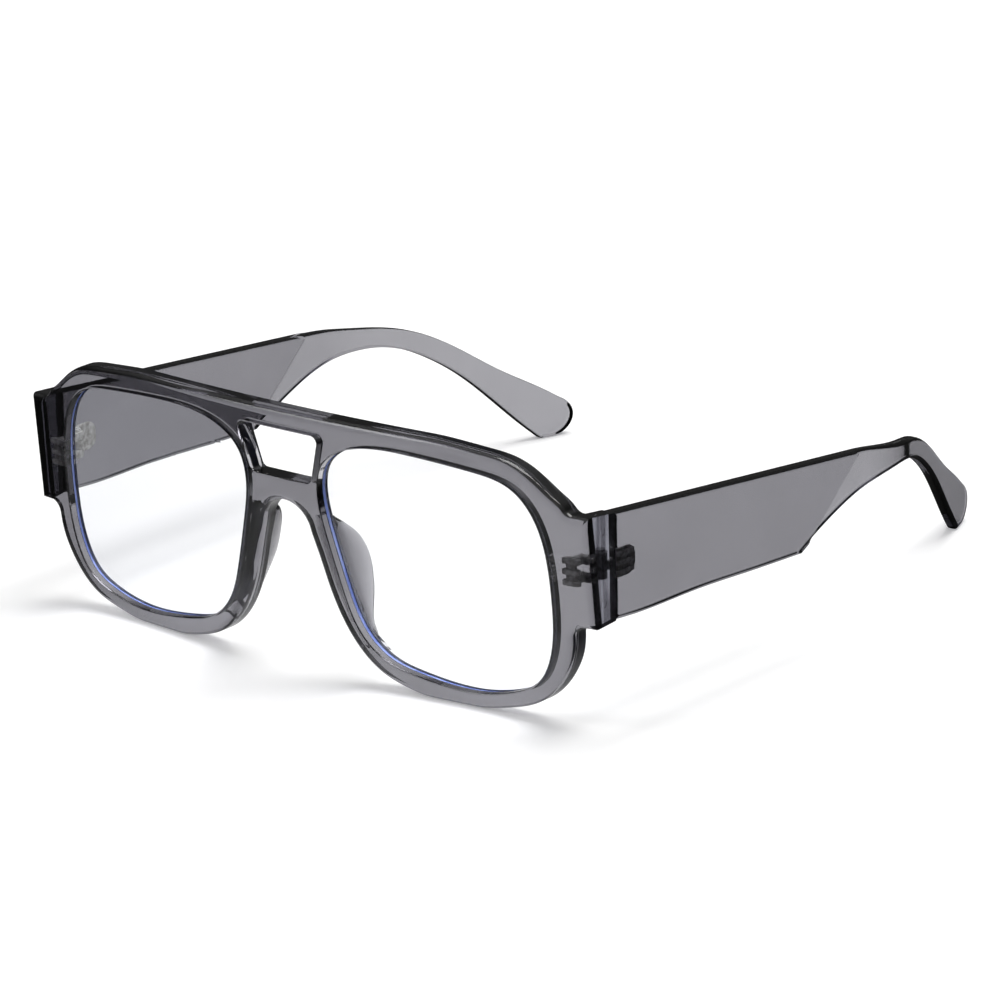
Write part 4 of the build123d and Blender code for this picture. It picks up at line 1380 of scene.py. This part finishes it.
def clear_plastic(name, ior, tint, density, shade, surface, painted_coat_reflection=False, drawn=None):
    """See-through plastic that takes its colour from its depth and lets lamps through. For a coated
    lens, the coating's blue reflection is painted into its colour towards grazing angles. drawn is
    the streak surface of the faces not polished, which are rougher and coloured darker as painted
    shade, and then the lens grooves are coloured near black as painted shade too."""
    made, shop = material(name)
    out = shop.node("ShaderNodeOutputMaterial")
    body = shop.node("ShaderNodeBsdfPrincipled")
    body.inputs["Metallic"].default_value = 0.0
    body.inputs["Transmission Weight"].default_value = 1.0
    body.inputs["IOR"].default_value = ior
    wear = grouped(shop, surface, POLISH)
    colour, dull = wear["Cloud"], wear["Smudge"]
    # Painted reflection: the lens coating's blue reflection, painted into the colour towards
    # grazing angles
    if painted_coat_reflection:
        edge = shop.node("ShaderNodeLayerWeight")
        edge.inputs["Blend"].default_value = COAT_REFLECTION_BLEND
        colour = blended(shop, edge.outputs["Facing"], (1, 1, 1), COAT_REFLECTION_BLUE)
    if drawn:
        # Painted shade: the faces not polished are coloured darker, in streaks
        streak = grouped(shop, drawn, STREAKS)["Streak"]
        share = shop.node("ShaderNodeAttribute", attribute_name="unpolished_painted_shade").outputs["Fac"]
        colour = blended(shop, share, colour, blended(shop, streak, *INNER_PAINTED_SHADES))
        dull = choose(shop, share, dull, spread(shop, streak, *INNER_ROUGHNESS))
        # Painted shade: the lens grooves' faces are coloured near black
        share = shop.node("ShaderNodeAttribute", attribute_name="groove").outputs["Fac"]
        colour = blended(shop, share, colour, GROOVE_PAINTED_SHADE)
    shop.link(colour, body.inputs["Base Color"])
    shop.link(dull, body.inputs["Roughness"])
    raised(shop, wear["Height"], body)
    take = shop.node("ShaderNodeVolumeAbsorption")
    take.inputs["Color"].default_value = (*tint, 1)
    take.inputs["Density"].default_value = density
    let_lamps_through(shop, body, shade, out)
    shop.link(take.outputs[0], out.inputs["Volume"])
    return made


def ground_edge(name, painted_reflection_blues, drawn):
    """The frosted rim of a lens, rough and streaked. Its blue is the lens coating's reflection,
    painted into its colour.
    """
    made, shop = material(name)
    out = shop.node("ShaderNodeOutputMaterial")
    body = shop.node("ShaderNodeBsdfPrincipled")
    streak = grouped(shop, drawn, STREAKS)["Streak"]
    shop.link(blended(shop, streak, *painted_reflection_blues), body.inputs["Base Color"])
    shop.link(spread(shop, streak, *GROUND_ROUGHNESS), body.inputs["Roughness"])
    shop.link(body.outputs[0], out.inputs["Surface"])
    return made


def metal(name, bright, worn, surface):
    made, shop = material(name)
    out = shop.node("ShaderNodeOutputMaterial")
    body = shop.node("ShaderNodeBsdfPrincipled")
    body.inputs["Metallic"].default_value = METAL_SHARE
    wear = grouped(shop, surface, PLATING)
    shop.link(blended(shop, wear["Rub"], bright, worn), body.inputs["Base Color"])
    shop.link(wear["Dull"], body.inputs["Roughness"])
    raised(shop, wear["Height"], body)
    shop.link(body.outputs[0], out.inputs["Surface"])
    return made


place_camera()
white_room()
pale_floor()
softbox("key_softbox", KEY_SPOT, KEY_SIZE, KEY_WATTS)
softbox("fill_softbox", FILL_SPOT, FILL_SIZE, FILL_WATTS)
bpy.context.scene.view_settings.view_transform = "Standard"

polished, plated, drawn = polished_surface(), plated_surface(), drawn_surface()
frame_plastic = clear_plastic("grey_crystal_front", FRAME_IOR, FRAME_TINT, FRONT_DENSITY,
                              FRAME_SHADE, polished, drawn=drawn)
temple_plastic = clear_plastic("grey_crystal_temple", FRAME_IOR, FRAME_TINT, TEMPLE_DENSITY,
                               FRAME_SHADE, polished)
pad_plastic = clear_plastic("grey_crystal_pad", FRAME_IOR, FRAME_TINT, PAD_DENSITY,
                            FRAME_SHADE, polished)
# The lens has its coating's blue reflection painted into its colour
lens_plastic = clear_plastic("clear_lens", LENS_IOR, LENS_TINT, LENS_DENSITY,
                             LENS_SHADE, polished, painted_coat_reflection=True)
# The lens rims' blue is painted reflection of the lens coating
lens_rim = ground_edge("frosted_lens_edge_painted_reflection", GROUND_PAINTED_REFLECTION_BLUES, drawn)
nickel = metal("plated_nickel", NICKEL, NICKEL_WORN, plated)
steel = metal("bright_screw_steel", STEEL, NICKEL, plated)


def settle(piece, body, slot, *replaced):
    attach(piece, body)
    if replaced:
        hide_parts(*replaced)


settle(front_piece(frame_plastic), "front_body", "frame_plastic", "front")
for side, sign in SIDES.items():
    temple = temple_piece(f"temple_clear_plastic_{side}", sign, temple_plastic)
    settle(temple, f"temple_{side}_body", "frame_plastic", f"temple_{side}")
    lens = lens_piece(f"lens_disc_{side}", sign, lens_plastic, lens_rim)
    settle(lens, "front_body", "lens_plastic", f"lens_{side}")
    pad = nose_pad_piece(f"moulded_nose_pad_{side}", sign, pad_plastic)
    settle(pad, "front_body", "frame_plastic", f"nose_pad_{side}")
    hinge = hinge_front_piece(f"hinge_ribbed_anchor_{side}", sign, nickel)
    settle(hinge, "front_body", "hinge_metal", f"hinge_front_{side}")
    arm = hinge_temple_piece(f"hinge_ribbed_plate_{side}", sign, nickel)
    settle(arm, f"temple_{side}_body", "hinge_metal", f"hinge_temple_{side}")
    screw = screw_piece(f"slotted_screw_{side}", sign, steel)
    settle(screw, "front_body", "screw_metal", f"hinge_screw_{side}")
